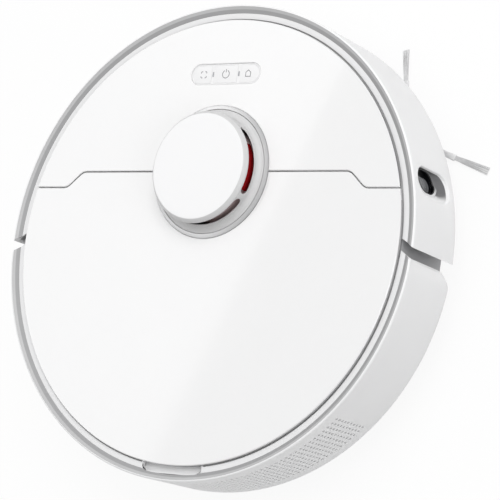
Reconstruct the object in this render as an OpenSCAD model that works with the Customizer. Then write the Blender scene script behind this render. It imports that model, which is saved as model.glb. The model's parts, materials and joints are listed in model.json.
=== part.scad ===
// Round robot vacuum cleaner with a laser ranging turret, a lift-up lid and a sprung bumper.
// Frame: +Z up, +Y forwards, +X to the machine's right. Millimetres.
// Origin: on the floor, midway between the two drive wheels, on the axis of the round body.

/* [Body] */
// Outside radius of the round body
body_r = 175; // [174:0.5:177]
// Height of the top plates above the floor
top_z = 79; // [78.5:0.5:81]
// Height of the lower edge of the outer walls
skirt_z = 22; // [21:0.5:24]
// Thickness of the outer walls
wall_t = 2.5; // [2:0.1:3]
// Gap between the base and the floor
ground_gap = 9; // [8.6:0.1:9.4]
// How far the bumper can be pushed in
bumper_travel = 3.5; // [2:0.5:3.5]

/* [Top plates] */
// Radius of the round top formed by the front plate and the lid
plate_r = 163.5; // [163:0.1:163.6]
// Distance of the middle stretch of the split line in front of the wheel axle
split_y = 49.75; // [49.5:0.05:50]
// How far the outer stretches of the split line step back
split_step = 12; // [10:0.5:13]
// Width of the gap between the front plate and the lid
split_gap = 0.9; // [0.8:0.1:1.2]

/* [Turret] */
// Distance of the turret's axis in front of the wheel axle
turret_y = 49.5; // [49:0.1:50]
// Height of the turret's top above the floor
turret_top = 96.5; // [96:0.5:99]
// Radius of the turret's flat top
turret_r = 38.9; // [38.5:0.1:39]
// Radius of the ring that the turret stands in
turret_base_r = 49; // [48.5:0.1:49]

/* [Buttons] */
// Length of the pill-shaped button panel
pill_l = 61; // [58:0.5:64]
// Width of the button panel
pill_w = 15.5; // [14:0.5:17]
// Distance of the button panel's centre in front of the wheel axle
pill_y = 122.5; // [120:0.5:125]
// Offset of the button panel's centre to the right
pill_x = 0.4; // [-1:0.1:1]

/* [Wheels] */
// Radius of the drive wheels, tyre included
wheel_r = 35; // [34:0.5:35]
// Width of the drive wheels
wheel_w = 18; // [16:0.5:18]
// Distance from the body's axis to the middle of a drive wheel
wheel_x = 112.5; // [111:0.5:113]
// Radius of the caster wheel
caster_r = 13; // [12:0.5:13]

/* [Brushes] */
// Radius of the main brush over its bristles
brush_r = 19.8; // [19:0.1:20]
// Length of the main brush
brush_l = 154; // [150:1:154]
// Distance of the main brush's axis behind the wheel axle
brush_back = 52; // [51:0.5:52]
// Reach of the side brush from its axis to the bristle tips
side_reach = 71.5; // [66:0.5:72]

/* [Hidden] */
$fn = 96;
// Running clearance of a shaft in its bore, on the radius
fit = 0.05;
// Clearance between pieces that move past each other
clear_gap = 0.3;
// Overreach of a cutting shape
eps = 1;

// Outer walls: the rim's rounding, the sloping trim band and the flat ledge inside it
rim_round = 1.3;
ledge_z = top_z - 2.6;
ledge_t = 1.4;
ledge_r = plate_r + 0.8;
band_in_r = body_r - 6.2;
band_out_r = body_r - 1.4;
trim_t = 0.8;
wall_in_r = body_r - wall_t;
// Slanted ends of the bumper and of the rear housing, at the ledge and at the outer face
bumper_end = [3, -3.7];
rear_end = [-5.2, -12.5];

// Base pan
pan_r = body_r - 11.5;
pan_t = 2;
pan_low_r = pan_r - 11.5;
pan_z = ground_gap;
pan_floor = 2.5;
pan_edge_z = 19;
pan_top = top_z - 6;
deck_r = pan_r - 3.2;
deck_top_front = top_z - 2.3;
deck_top_rear = top_z - 4;
inside_z = pan_z + pan_floor;

// Lid, its frame and its hinge
panel_t = 0.8;
frame_t = 2.6;
lid_z = top_z - panel_t;
frame_z = lid_z - frame_t;
hinge_y = split_y - 2.15;
hinge_z = top_z - 1.6;
pin_r = 0.5;
pin_x = [61, 87];
ear_r = 0.75;
ear_w = 3;
edge_ease = 0.5;
plate_lip = 0.7;
undercut = 2.2;
jog_x = 114;
jog_r = 9;
jog_angle = 42;

// Drive units
axle_z = wheel_r;
pivot_y = 42;
pivot_z = 38;
arm_x = 85.5;
arm_w = 14.5;
well = [[83, -41.5], [128.5, 56]];
well_t = 1.5;
axle_r = 3;
rim_r = wheel_r - 6;

// Main brush
brush_y = -brush_back;
brush_z = brush_r + 0.7;
chamber = [[-82, brush_y - 24], [82, brush_y + 24]];
chamber_top = 44;
core_r = 9;

// Caster, side brush, battery, bin and blower places
caster_y = 120;
caster_trail = 9;
cup_r = 25;
side_at = [114.7, 92.7];
side_hub_r = 12;
side_angles = [100.2, -19.8, -139.8];
side_tilt = 4;
holder_l = 43.3;
battery = [[-38, 8], [38, 84]];
cover = [[-44, 4], [44, 88]];
bin = [[-70, -136], [70, -78]];
bin_z = 22;
bin_top = 68;
blower_at = [-106.5, -80];
blower_r = 24;
blower_z = 20;
blower_h = 36;
speaker_at = [90, -96];
board = [[-66, 92], [66, 138]];
board_z = 55;
contact_at = [40, 135.5];
contact_size = [22, 11];
screw_at = [[72, 102], [118, 63], [138, -20], [60, -128], [50, -92]];
// Cliff sensor places: x, y and the turn about Z
cliff_at = [[140, 30, 0], [-140, 30, 0], [66, 122, 62], [-66, 122, 118]];
// Distance of the status lights from the middle of the button panel
light_x = 11.3;

// Turret and ranging unit
cap_r = turret_r + 2.4;
slot_z = [turret_top - 12, turret_top - 4.1];
slot_angle = 73.5;
slot_post = 6;
slot_wall = 0.9;
window_z = [top_z + 0.5, turret_top - 4.6];
post_angle = -30;
skirt_r = turret_base_r - 3.1;
rotor_r = 36;
belt_r = 34;
pulley_r = 5;
pulley_reach = 56;
pulley_angle = 20;
laser_z = 60.5;

// Wall sensor in the bumper's right side: lower end, upper end and width of each outline
sensor_angle = 15.4;
sensor_lip = [28.8, 72, 21.6];
sensor_moat = [38.5, 71.4, 18.6];
sensor_land = [45, 71.2, 17.8];
sensor_bore = [48.1, 70, 17.4];
sensor_lens = [49.4, 69.2, 11.8];
bore_shift = 0.8;
lens_shift = -0.9;
sensor_back_r = body_r - 9.4;
sensor_floor_r = body_r - 5.2;
sensor_moat_r = body_r - 5;
sensor_land_r = body_r - 0.9;

// Points along an arc, from angle a0 to angle a1
function arc(centre, r, a0, a1, n = 8) =
    [for (i = [0:n]) centre + r * [cos(a0 + (a1 - a0) * i / n), sin(a0 + (a1 - a0) * i / n)]];

// The split line's right half, moved forwards by shift along its whole length, from the middle outwards
function split_half(shift) =
    let (jog_w = 2 * jog_r * sin(jog_angle)
        + (split_step - 2 * jog_r * (1 - cos(jog_angle))) / tan(jog_angle))
    concat([[0, split_y + shift]],
        arc([jog_x, split_y - jog_r], jog_r + shift, 90, 90 - jog_angle),
        arc([jog_x + jog_w, split_y - split_step + jog_r], jog_r - shift, 270 - jog_angle, 270),
        [[body_r + 10, split_y - split_step + shift]]);

// The whole split line from left to right
function split_line(shift) =
    let (half = split_half(shift))
    concat([for (i = [len(half) - 1:-1:1]) [-half[i][0], half[i][1]]], half);

// A line at the bumper's or rear housing's end, at distance x from the axis
function end_y(ends, x) = ends[0] + (ends[1] - ends[0]) * (x - ledge_r) / (body_r - ledge_r);

module box2(corners, z0, z1) {
    translate([corners[0][0], corners[0][1], z0])
        cube([corners[1][0] - corners[0][0], corners[1][1] - corners[0][1], z1 - z0]);
}

module tube(r_out, r_in, z0, z1) {
    translate([0, 0, z0]) difference() {
        cylinder(r = r_out, h = z1 - z0);
        translate([0, 0, -eps]) cylinder(r = r_in, h = z1 - z0 + 2 * eps);
    }
}

// A cylinder along X from x0 to x1, centred at y, z
module rod_x(r, x0, x1, y, z) {
    translate([x0, y, z]) rotate([0, 90, 0]) cylinder(r = r, h = x1 - x0);
}

module obround(l, w) {
    square([l - w, w], center = true);
    translate([(l - w) / 2, 0]) circle(d = w);
    translate([(w - l) / 2, 0]) circle(d = w);
}

module both_sides() {
    children();
    mirror([1, 0, 0]) children();
}

// ---- Outer walls ----

// Section of the outer wall, rim and ledge; the trim ring lies in its step
module wall_section() {
    trim_dir = [band_in_r - band_out_r, ledge_z - top_z];
    trim_in = trim_t * [-trim_dir[1], trim_dir[0]] / norm(trim_dir);
    polygon(concat(
        [[wall_in_r, skirt_z], [body_r - 0.8, skirt_z], [body_r, skirt_z + 0.8]],
        arc([body_r - rim_round, top_z - rim_round], rim_round, 0, 90, 6),
        [[band_out_r, top_z], [band_out_r, top_z] + trim_in, [band_in_r, ledge_z] + trim_in,
            [band_in_r, ledge_z], [ledge_r, ledge_z], [ledge_r, ledge_z - ledge_t],
            [wall_in_r - 1.5, ledge_z - ledge_t], [wall_in_r, ledge_z - ledge_t - 1.5]]));
}

module trim_section() {
    trim_dir = [band_in_r - band_out_r, ledge_z - top_z];
    trim_in = trim_t * [-trim_dir[1], trim_dir[0]] / norm(trim_dir);
    polygon([[band_out_r, top_z], [band_in_r, ledge_z], [band_in_r, ledge_z] + trim_in,
        [band_out_r, top_z] + trim_in]);
}

// The part of the plan in front of (side 1) or behind (side -1) a pair of slanted ends
module plan_half(ends, side) {
    near = 150;
    far = body_r + 15;
    linear_extrude(height = turret_top)
        polygon([[near, end_y(ends, near)], [far, end_y(ends, far)], [far, side * 200],
            [-far, side * 200], [-far, end_y(ends, far)], [-near, end_y(ends, near)]]);
}

// Places children on the wall sensor's axis, with X pointing outwards
module at_sensor() {
    rotate([0, 0, sensor_angle]) children();
}

// An outline of the wall sensor, grown by g, as a prism from x0 to x1
module sensor_prism(outline, g, x0, x1) {
    translate([x0, 0, (outline[0] + outline[1]) / 2]) rotate([90, 0, 90])
        linear_extrude(height = x1 - x0) rotate(90)
            obround(outline[1] - outline[0] + 2 * g, outline[2] + 2 * g);
}

// The funnel from the lip down to the moat around the sensor, grown by g
module sensor_funnel(g) {
    hull() {
        sensor_prism(sensor_lip, g, body_r - 0.01, body_r);
        sensor_prism(sensor_moat, g, sensor_moat_r - g, sensor_moat_r - g + 0.01);
    }
}

module bumper_shell() {
    color("white") difference() {
        union() {
            intersection() {
                rotate_extrude() wall_section();
                plan_half(bumper_end, 1);
            }
            at_sensor() intersection() {
                union() {
                    sensor_funnel(1.4);
                    sensor_prism(sensor_land, 0, sensor_back_r, sensor_land_r);
                }
                cylinder(r = body_r - 0.6, h = top_z);
            }
        }
        at_sensor() {
            difference() {
                union() {
                    sensor_funnel(0);
                    sensor_prism(sensor_lip, 0, body_r - 0.01, body_r + 4);
                }
                sensor_prism(sensor_land, 0, sensor_moat_r - eps, sensor_land_r);
            }
            translate([0, bore_shift, 0]) sensor_prism(sensor_bore, 0, sensor_back_r - eps, body_r + 4);
        }
        dock_cut();
    }
}

// Groove in the bumper's front face that the dock window fills
module dock_cut() {
    rotate([0, 0, 78]) rotate_extrude(angle = 24) translate([body_r - 1.2, 44]) square([3, 14]);
}

module dock_window() {
    color([0.08, 0.08, 0.09]) rotate([0, 0, 78.03]) rotate_extrude(angle = 23.94)
        translate([body_r - 1.2, 44.02]) square([1.2, 13.96]);
}

module front_trim() {
    color("silver") intersection() {
        rotate_extrude() trim_section();
        plan_half(bumper_end, 1);
    }
}

module rear_trim() {
    color("silver") intersection() {
        rotate_extrude() trim_section();
        plan_half(rear_end, -1);
    }
}

module wall_sensor_window() {
    color([0.03, 0.03, 0.03]) at_sensor() translate([0, bore_shift, 0]) difference() {
        sensor_prism(sensor_bore, -0.05, sensor_back_r, sensor_moat_r + 2);
        sensor_prism(sensor_bore, -0.65, sensor_floor_r, body_r);
    }
}

module wall_sensor_lens() {
    color("gray") at_sensor() intersection() {
        translate([0, lens_shift, 0])
            sensor_prism(sensor_lens, 0, sensor_floor_r, sensor_floor_r + 0.5);
        translate([0, bore_shift, 0]) sensor_prism(sensor_bore, -0.8, sensor_back_r, body_r);
    }
}

module rear_housing() {
    grille_rows = 5;
    grille_columns = 33;
    notch_w = 51;
    color("white") difference() {
        union() {
            intersection() {
                rotate_extrude() wall_section();
                plan_half(rear_end, -1);
            }
            for (a = [-14, -40, -90, -140, -166])
                rotate([0, 0, a - 0.35]) rotate_extrude(angle = 0.7)
                    translate([pan_r + 0.05, skirt_z + 3])
                        square([wall_in_r - pan_r, ledge_z - ledge_t - skirt_z - 4]);
            translate([-notch_w / 2 - 2, -wall_in_r + 2, ledge_z - 6])
                cube([notch_w + 4, wall_in_r - pan_r - 2.1, 5.5]);
        }
        translate([-notch_w / 2, -band_in_r + 0.4, ledge_z - 4]) cube([notch_w, 20, 10]);
        for (row = [0:grille_rows - 1]) for (i = [0:grille_columns - 1])
            rotate([0, 0, -90 + (i - (grille_columns - 1) / 2) * 94 / (grille_columns - 1)])
                translate([wall_in_r - 1, -1.1, 31 + row * 8]) cube([wall_t + 2, 2.2, 6.6]);
    }
}

// ---- Base ----

module wheel_opening() {
    both_sides() box2(well, 0, inside_z + eps);
}

module chassis_base() {
    boss_r = 16.5;
    color([0.86, 0.86, 0.86]) difference() {
        union() {
            rotate_extrude() polygon([[0, pan_z], [pan_low_r, pan_z], [pan_r, pan_edge_z],
                [pan_r, pan_top], [pan_r - 5, pan_top], [pan_r - 5, pan_top - 2],
                [pan_r - pan_t, pan_top - 2], [pan_r - pan_t, pan_edge_z + 0.8],
                [pan_low_r - 0.8, inside_z], [0, inside_z]]);
            translate([0, caster_y, pan_z]) cylinder(r = cup_r + 2, h = 27);
            translate([0, caster_y, pan_z]) cylinder(r = 8, h = 39);
            translate([side_at[0], side_at[1], pan_z + 3]) cylinder(r = boss_r, h = 16);
            both_sides() for (y = [96, 132])
                translate([60, y, inside_z - 0.5]) cylinder(r = 3.5, h = board_z - inside_z + 0.5);
            both_sides() for (at = screw_at)
                translate([at[0], at[1], inside_z - 0.5]) cylinder(r = 3.6, h = 8);
        }
        wheel_opening();
        box2(chamber, 0, inside_z + eps);
        box2([cover[0] + [4, 2], cover[1] - [4, 2]], 0, inside_z + eps);
        box2([cover[0] - [0.2, 0.2], cover[1] + [0.2, 0.2]], 0, pan_z + 2);
        translate([0, caster_y, 0]) cylinder(r = cup_r, h = 34);
        translate([0, caster_y, 30]) cylinder(r = 4 + fit, h = 17);
        translate([side_at[0], side_at[1], 0]) cylinder(r = boss_r - 1.5, h = 18.5);
        translate([side_at[0], side_at[1], 10]) cylinder(r = 4 + fit, h = 30);
        for (at = cliff_at) translate([at[0], at[1], pan_z + 1])
            rotate([0, 0, at[2]]) cube([8.4, 16.4, 6], center = true);
        both_sides() translate([contact_at[0], contact_at[1], pan_z])
            cube([contact_size[0] + 0.4, contact_size[1] + 0.4, 2.4], center = true);
        both_sides() for (at = screw_at) translate([at[0], at[1], 0]) {
            cylinder(r = 3.3, h = pan_z + 1.5);
            cylinder(r = 1.6, h = pan_z + 9.6);
        }
        for (a = [-62, -90, -118]) rotate([0, 0, a]) translate([pan_r - 8, -24, 30])
            cube([12, 48, 38]);
    }
}

module cliff_windows() {
    color([0.1, 0.1, 0.12]) for (at = cliff_at) translate([at[0], at[1], pan_z + 0.9])
        rotate([0, 0, at[2]]) cube([8.2, 16.2, 1.4], center = true);
}

module charge_contacts() {
    color([0.85, 0.75, 0.45]) both_sides() translate([contact_at[0], contact_at[1], pan_z + 0.7])
        cube([contact_size[0], contact_size[1], 1], center = true);
}

module base_screws() {
    color("dimgray") both_sides() for (at = screw_at) translate([at[0], at[1], pan_z + 0.3])
        difference() {
            union() {
                cylinder(r = 3, h = 1.2);
                cylinder(r = 1.3, h = 9);
            }
            for (turn = [0, 90]) rotate([0, 0, turn]) translate([-1.8, -0.35, -eps])
                cube([3.6, 0.7, eps + 0.7]);
        }
}

module battery_pack() {
    cell_r = 9;
    color("royalblue") {
        box2(battery, inside_z + 0.5, 30.5);
        for (i = [0:3]) translate([battery[0][0] + 9.6 + i * 18.9, battery[0][1] + 3, 39.6])
            rotate([-90, 0, 0]) cylinder(r = cell_r + 0.25, h = 70);
    }
}

module battery_cover() {
    color([0.8, 0.8, 0.8]) difference() {
        box2(cover, pan_z + 0.05, pan_z + 1.95);
        for (x = [-30, 30]) translate([x, cover[1][1] - 4.5, pan_z - eps])
            cylinder(r = 1.6, h = 5);
    }
}

module main_board() {
    color("seagreen") difference() {
        box2(board, board_z, board_z + 1.6);
        both_sides() for (y = [96, 132]) translate([60, y, board_z - eps])
            cylinder(r = 1.6, h = 5);
    }
    color("black") {
        translate([-12, 108, board_z + 1.6]) cube([18, 18, 1.6]);
        translate([18, 104, board_z + 1.6]) cube([12, 9, 1.4]);
        for (x = [-50, -38, 36, 46]) translate([x, 112, board_z + 1.6]) cylinder(r = 4, h = 9);
        translate([-46, 93, board_z + 1.6]) cube([26, 6, 7]);
    }
}

module speaker() {
    color("dimgray") translate([speaker_at[0], speaker_at[1], inside_z]) {
        cylinder(r = 17, h = 4);
        cylinder(r1 = 15, r2 = 10, h = 14);
        cylinder(r = 9, h = 20);
    }
}

// ---- Suction ----

module blower_housing() {
    color([0.25, 0.25, 0.27]) translate([blower_at[0], blower_at[1], 0]) difference() {
        union() {
            translate([0, 0, blower_z]) cylinder(r = blower_r, h = blower_h);
            translate([-10, -26, blower_z + 4]) cube([18, 26, blower_h - 8]);
            translate([10, -16, 34]) cube([bin[0][0] - blower_at[0] - 10.4, 16, 16]);
        }
        translate([0, 0, blower_z + 2]) cylinder(r = blower_r - 2, h = blower_h - 4);
        translate([-8, -30, blower_z + 6]) cube([14, 28, blower_h - 12]);
        translate([8, -14, 36]) cube([bin[0][0] - blower_at[0], 12, 12]);
        translate([0, 0, blower_z + blower_h - 6]) cylinder(r = 12, h = 10);
    }
}

module impeller() {
    blades = 9;
    color("lightgray") translate([blower_at[0], blower_at[1], blower_z + 3]) {
        cylinder(r = blower_r - 4, h = 1.6);
        cylinder(r = 7, h = 16);
        for (i = [0:blades - 1]) rotate([0, 0, i * 360 / blades])
            translate([6.5, 0, 1.2]) rotate([0, 0, 20]) cube([blower_r - 11.5, 1.2, 14]);
    }
}

module brush_chamber() {
    duct_w = 110;
    color([0.3, 0.3, 0.32]) difference() {
        box2(chamber, pan_z, chamber_top);
        rod_x(brush_r + 2, -brush_l / 2 - 2, brush_l / 2 + 2, brush_y, brush_z);
        translate([-brush_l / 2 - 2, brush_y - brush_r - 1, 0])
            cube([brush_l + 4, 2 * brush_r + 2, brush_z]);
        translate([-duct_w / 2, chamber[0][1] - eps, 27]) cube([duct_w, 20, 11]);
        rod_x(2.5 + fit, -90, 90, brush_y, brush_z);
    }
}

module brush_core() {
    color("dimgray") {
        rod_x(core_r, -brush_l / 2 + 3, brush_l / 2 - 3, brush_y, brush_z);
        rod_x(13, -brush_l / 2, -brush_l / 2 + 3, brush_y, brush_z);
        rod_x(13, brush_l / 2 - 3, brush_l / 2, brush_y, brush_z);
        rod_x(2.5, -brush_l / 2 - 4.5, brush_l / 2 + 4.5, brush_y, brush_z);
    }
}

module brush_bristles() {
    rows = 6;
    color("gray") for (i = [0:rows - 1]) translate([0, brush_y, brush_z])
        rotate([i * 360 / rows, 0, 0]) translate([-brush_l / 2 + 3.3, -1.4, core_r + 0.02])
            cube([brush_l - 6.6, 2.8, brush_r - core_r - 0.1]);
}

module brush_guard() {
    color([0.75, 0.75, 0.76]) difference() {
        box2([chamber[0] - [6, 4], chamber[1] + [6, 5]], pan_z - 2.2, pan_z - 0.02);
        translate([-brush_l / 2 - 1, brush_y - brush_r - 0.6, 0])
            cube([brush_l + 2, 2 * brush_r + 1.2, pan_z + eps]);
        for (x = [-60:12:60]) translate([x, brush_y + brush_r, 0]) cube([6, 4.5, pan_z + eps]);
    }
}

module brush_motor() {
    color([0.2, 0.2, 0.22]) {
        difference() {
            box2([[82.1, -76], [91, -44]], inside_z + 0.5, chamber_top);
            rod_x(3, 80, 83.2, brush_y, brush_z);
        }
        rod_x(13.5, 91, 126, -60, 30);
    }
}

module dust_bin() {
    color([0.55, 0.56, 0.58]) difference() {
        box2(bin, bin_z, bin_top);
        box2([bin[0] + [2, 2], bin[1] - [2, 2]], bin_z + 2, bin_top + eps);
        translate([-50, bin[1][1] - 5, 28]) cube([100, 10, 9]);
        translate([bin[0][0] - eps, blower_at[1] - 14, 36]) cube([5, 12, 12]);
    }
}

module bin_cover() {
    color([0.9, 0.9, 0.9]) box2(bin, bin_top + 0.02, bin_top + 2.4);
}

module bin_filter() {
    color("ivory") for (i = [0:10]) translate([bin[0][0] + 2.3, bin[0][1] + 5 + i * 4.2, bin_z + 3])
        cube([9, i == 10 ? 3.6 : 4.21, 40 - 2 * (i % 2)]);
}

module bin_handle() {
    z = bin_top + 2.42;
    color([0.45, 0.5, 0.55]) {
        translate([-40, -126, z]) cube([80, 6, 2.6]);
        both_sides() translate([34, -120.01, z]) cube([6, 24, 2.6]);
    }
}

// ---- Top ----

module top_deck() {
    color([0.9, 0.9, 0.9]) difference() {
        union() {
            translate([0, 0, pan_top]) cylinder(r = deck_r, h = deck_top_rear - pan_top);
            intersection() {
                translate([0, 0, pan_top]) cylinder(r = deck_r, h = deck_top_front - pan_top);
                linear_extrude(height = top_z)
                    polygon(concat(split_line(split_gap / 2 + 0.4), [[200, 200], [-200, 200]]));
            }
            ears();
        }
        translate([0, turret_y, pan_top - eps]) cylinder(r = turret_base_r - 6, h = 10);
        translate([0, turret_y, deck_top_front - 1]) cylinder(r = turret_base_r + 0.1, h = 10);
        box2([bin[0] - [3, 3], bin[1] + [3, 3]], pan_top - eps, top_z);
        translate([-pill_l / 2, pill_y - pill_w / 2 - 0.5, pan_top - eps])
            cube([pill_l + 1, pill_w + 1, 10]);
        both_sides() difference() {
            translate([turret_base_r - 2, hinge_y - 3, deck_top_rear - 0.9])
                cube([jog_x + 6 - turret_base_r, 6, 5]);
            ears();
        }
        hinge_bores(pin_r);
    }
}

// Ears on the deck that hold the ends of the hinge pins
module ears() {
    both_sides() for (x = [pin_x[0], pin_x[1] - ear_w]) {
        rod_x(ear_r, x, x + ear_w, hinge_y, hinge_z);
        translate([x, hinge_y - ear_r, pan_top]) cube([ear_w, 2 * ear_r, hinge_z - pan_top]);
    }
}

module hinge_bores(r) {
    both_sides() rod_x(r, pin_x[0] - 1, pin_x[1] + 1, hinge_y, hinge_z);
}

module lid_hinge_pins() {
    color("silver") both_sides() rod_x(pin_r - 0.01, pin_x[0] + 0.2, pin_x[1] - 0.2, hinge_y, hinge_z);
}

// Plan of the front plate, with its edge moved forwards by shift
module front_outline(shift) {
    difference() {
        intersection() {
            circle(r = plate_r);
            polygon(concat(split_line(split_gap / 2 + shift), [[200, 200], [-200, 200]]));
        }
        translate([0, turret_y]) circle(r = turret_base_r + 0.4);
        translate([pill_x, pill_y]) obround(pill_l, pill_w);
    }
}

// Plan of the lid, with its front edge moved back by shift
module lid_outline(r, shift = 0) {
    difference() {
        intersection() {
            circle(r = r);
            polygon(concat(split_line(-split_gap / 2 - shift), [[200, -200], [-200, -200]]));
        }
        translate([0, turret_y]) circle(r = turret_base_r + 0.6);
    }
}

// The front plate is undercut along the split line, so that the lid's edge can turn beneath it
module front_plate() {
    base_z = deck_top_front + 0.02;
    color("white") {
        translate([0, 0, base_z]) linear_extrude(height = top_z - plate_lip - base_z)
            front_outline(undercut);
        for (i = [0:2]) translate([0, 0, top_z - plate_lip])
            linear_extrude(height = plate_lip - edge_ease * (2 - i) / 2)
                front_outline(i * edge_ease / 2);
    }
}

module lid_panel() {
    color("white") for (i = [0:2]) translate([0, 0, lid_z])
        linear_extrude(height = panel_t - edge_ease * (2 - i) / 2)
            lid_outline(plate_r, i * edge_ease / 2);
}

module lid_frame() {
    color([0.93, 0.93, 0.93]) difference() {
        translate([0, 0, frame_z]) linear_extrude(height = frame_t - 0.02) lid_outline(plate_r - 0.4);
        translate([0, 0, frame_z - eps]) linear_extrude(height = eps + 1.3) difference() {
            intersection() {
                circle(r = plate_r - 5);
                translate([-200, -200]) square([400, 200 + split_y - split_step - 5]);
            }
            translate([0, turret_y]) circle(r = turret_base_r + 6);
        }
        both_sides() for (x = [pin_x[0], pin_x[1] - ear_w])
            translate([x - clear_gap, hinge_y - 1.7, frame_z - eps]) cube([ear_w + 2 * clear_gap, 10, 10]);
        hinge_bores(pin_r + fit);
    }
}

module button_panel() {
    color([0.93, 0.93, 0.93]) translate([pill_x, pill_y, 0]) difference() {
        translate([0, 0, top_z - 4.6]) linear_extrude(height = 4) obround(pill_l - 0.3, pill_w - 0.3);
        translate([0, 0, top_z - 3.6]) for (k = [0:2]) linear_extrude(height = 5) key_outline(k, 0);
        translate([0, 0, top_z - 3]) for (side = [-1, 1])
            translate([side * light_x - 0.6, -1.7, 0]) cube([1.2, 3.4, 5]);
    }
}

// Outline of key k (0 left, 1 middle, 2 right), drawn in by a margin
module key_outline(k, margin) {
    spans = [[-pill_l / 2, -12.6], [-10, 10], [12.6, pill_l / 2]];
    intersection() {
        obround(pill_l - 2.4 - 2 * margin, pill_w - 2.4 - 2 * margin);
        translate([spans[k][0] + margin, -10])
            square([spans[k][1] - spans[k][0] - 2 * margin, 20]);
    }
}

module key(k) {
    color([0.95, 0.95, 0.95]) translate([pill_x, pill_y, top_z - 2.7])
        linear_extrude(height = 2.1) key_outline(k, 0.2);
}

module spot_button() { key(0); }
module power_button() { key(1); }
module home_button() { key(2); }

module status_lights() {
    color("lightblue") for (side = [-1, 1])
        translate([pill_x + side * light_x - 0.55, pill_y - 1.65, top_z - 2.95]) cube([1.1, 3.3, 2.3]);
}

// ---- Turret ----

module turret_base() {
    lip = 1.6;
    color([0.95, 0.95, 0.95]) translate([0, turret_y, 0]) rotate_extrude()
        polygon([[turret_base_r - 5.9, top_z - 3.3], [turret_base_r, top_z - 3.3],
            [turret_base_r, top_z + 0.1], [skirt_r + 0.7, top_z + lip],
            [skirt_r + 0.35, top_z + lip - 0.1], [skirt_r + 0.35, top_z - 0.6],
            [turret_base_r - 5.9, top_z - 0.6]]);
}

module turret_cap() {
    flare_z = slot_z[0] - 0.4;
    flare_h = flare_z - top_z - 1.5;
    flare = [for (a = [84:-12:0]) [skirt_r - (skirt_r - cap_r) * cos(a), flare_z - flare_h * sin(a)]];
    color([0.97, 0.97, 0.97]) translate([0, turret_y, 0]) difference() {
        rotate_extrude() polygon(concat(
            [[0, turret_top - 1.8], [cap_r - 3.4, turret_top - 3.4], [cap_r - 2.3, turret_top - 4],
                [cap_r - 2.3, slot_z[0] - 0.6], [cap_r - 0.2, top_z + 2], [skirt_r - 1, top_z + 1],
                [skirt_r, top_z + 1]],
            flare,
            [[cap_r, turret_top - 3.2], [turret_r + 0.5, turret_top - 0.3],
                [turret_r - 0.2, turret_top], [0, turret_top]]));
        for (k = [0:3]) rotate([0, 0, post_angle + 90 * k
                + (k % 2 == 0 ? slot_post / 2 : 90 - slot_post / 2 - slot_angle)])
            rotate_extrude(angle = slot_angle) {
                translate([cap_r - 5, slot_z[0]]) square([10, slot_z[1] - slot_z[0]]);
                translate([cap_r - 5, slot_z[0] - 3])
                    square([5 - slot_wall, slot_z[1] - slot_z[0] + 3]);
            }
    }
}

// Places children at the ranging unit's small pulley
module at_pulley() {
    translate([pulley_reach * cos(pulley_angle), turret_y + pulley_reach * sin(pulley_angle), 0])
        children();
}

module lidar_base() {
    color([0.2, 0.2, 0.22]) {
        difference() {
            union() {
                translate([0, turret_y, laser_z - 2]) cylinder(r = 46, h = 2);
                translate([0, turret_y, laser_z - 2]) cylinder(r = 6, h = 12);
                at_pulley() translate([0, 0, laser_z - 2]) cylinder(r = 11, h = 2);
            }
            translate([0, turret_y, laser_z - 4]) cylinder(r = 3, h = 30);
        }
        at_pulley() {
            translate([0, 0, laser_z - 18]) cylinder(r = 8, h = 16.01);
            translate([0, 0, laser_z - 0.01]) cylinder(r = 1.5, h = 7);
        }
        for (a = [110, 200, 320]) translate([43 * cos(a), turret_y + 43 * sin(a), laser_z - 0.01])
            cylinder(r = 2.6, h = pan_top - laser_z);
    }
}

module lidar_pulley() {
    color("dimgray") at_pulley() {
        tube(pulley_r, 1.5 + fit, laser_z + 0.6, laser_z + 6.4);
        tube(pulley_r + 1.4, 1.5 + fit, laser_z + 5.6, laser_z + 6.4);
    }
}

module belt_outline(g) {
    hull() {
        translate([0, turret_y]) circle(r = belt_r + g);
        at_pulley() circle(r = pulley_r + g);
    }
}

module lidar_belt() {
    color("black") translate([0, 0, laser_z + 1.8]) linear_extrude(height = 3) difference() {
        belt_outline(1.3);
        belt_outline(0.3);
    }
}

module lidar_rotor() {
    color([0.25, 0.18, 0.18]) translate([0, turret_y, 0]) rotate_extrude()
        polygon([[6 + fit, laser_z + 0.6], [belt_r, laser_z + 0.6], [belt_r, laser_z + 6],
            [rotor_r, laser_z + 7], [rotor_r, turret_top - 5], [rotor_r - 2, turret_top - 5],
            [rotor_r - 2, laser_z + 9], [6 + fit, laser_z + 9]]);
}

module lidar_window() {
    color([0.35, 0, 0]) translate([0, turret_y, 0]) rotate([0, 0, -24])
        rotate_extrude(angle = 56) translate([rotor_r + 0.02, window_z[0]])
            square([1, window_z[1] - window_z[0]]);
}

// ---- Side brush ----

module side_brush_motor() {
    motor_at = [106, 79];
    color([0.2, 0.2, 0.22]) difference() {
        union() {
            translate([0, 0, 28.1]) linear_extrude(height = 9) hull() {
                translate(side_at) circle(r = 8);
                translate(motor_at) circle(r = 13);
            }
            translate([motor_at[0], motor_at[1], 37]) cylinder(r = 12, h = 22);
        }
        translate([side_at[0], side_at[1], 20]) cylinder(r = 3 + fit, h = 14);
    }
}

module side_brush_hub() {
    color([0.85, 0.85, 0.85]) translate([side_at[0], side_at[1], 0]) {
        translate([0, 0, 5]) cylinder(r1 = side_hub_r - 2, r2 = side_hub_r, h = 3);
        translate([0, 0, 8]) cylinder(r = side_hub_r, h = 6);
        translate([0, 0, 14]) cylinder(r = 3, h = 19);
        for (a = side_angles) rotate([0, 0, a]) rotate([0, side_tilt, 0]) translate([6, -2.6, 5.6])
            cube([holder_l - 6, 5.2, 2]);
    }
}

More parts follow.
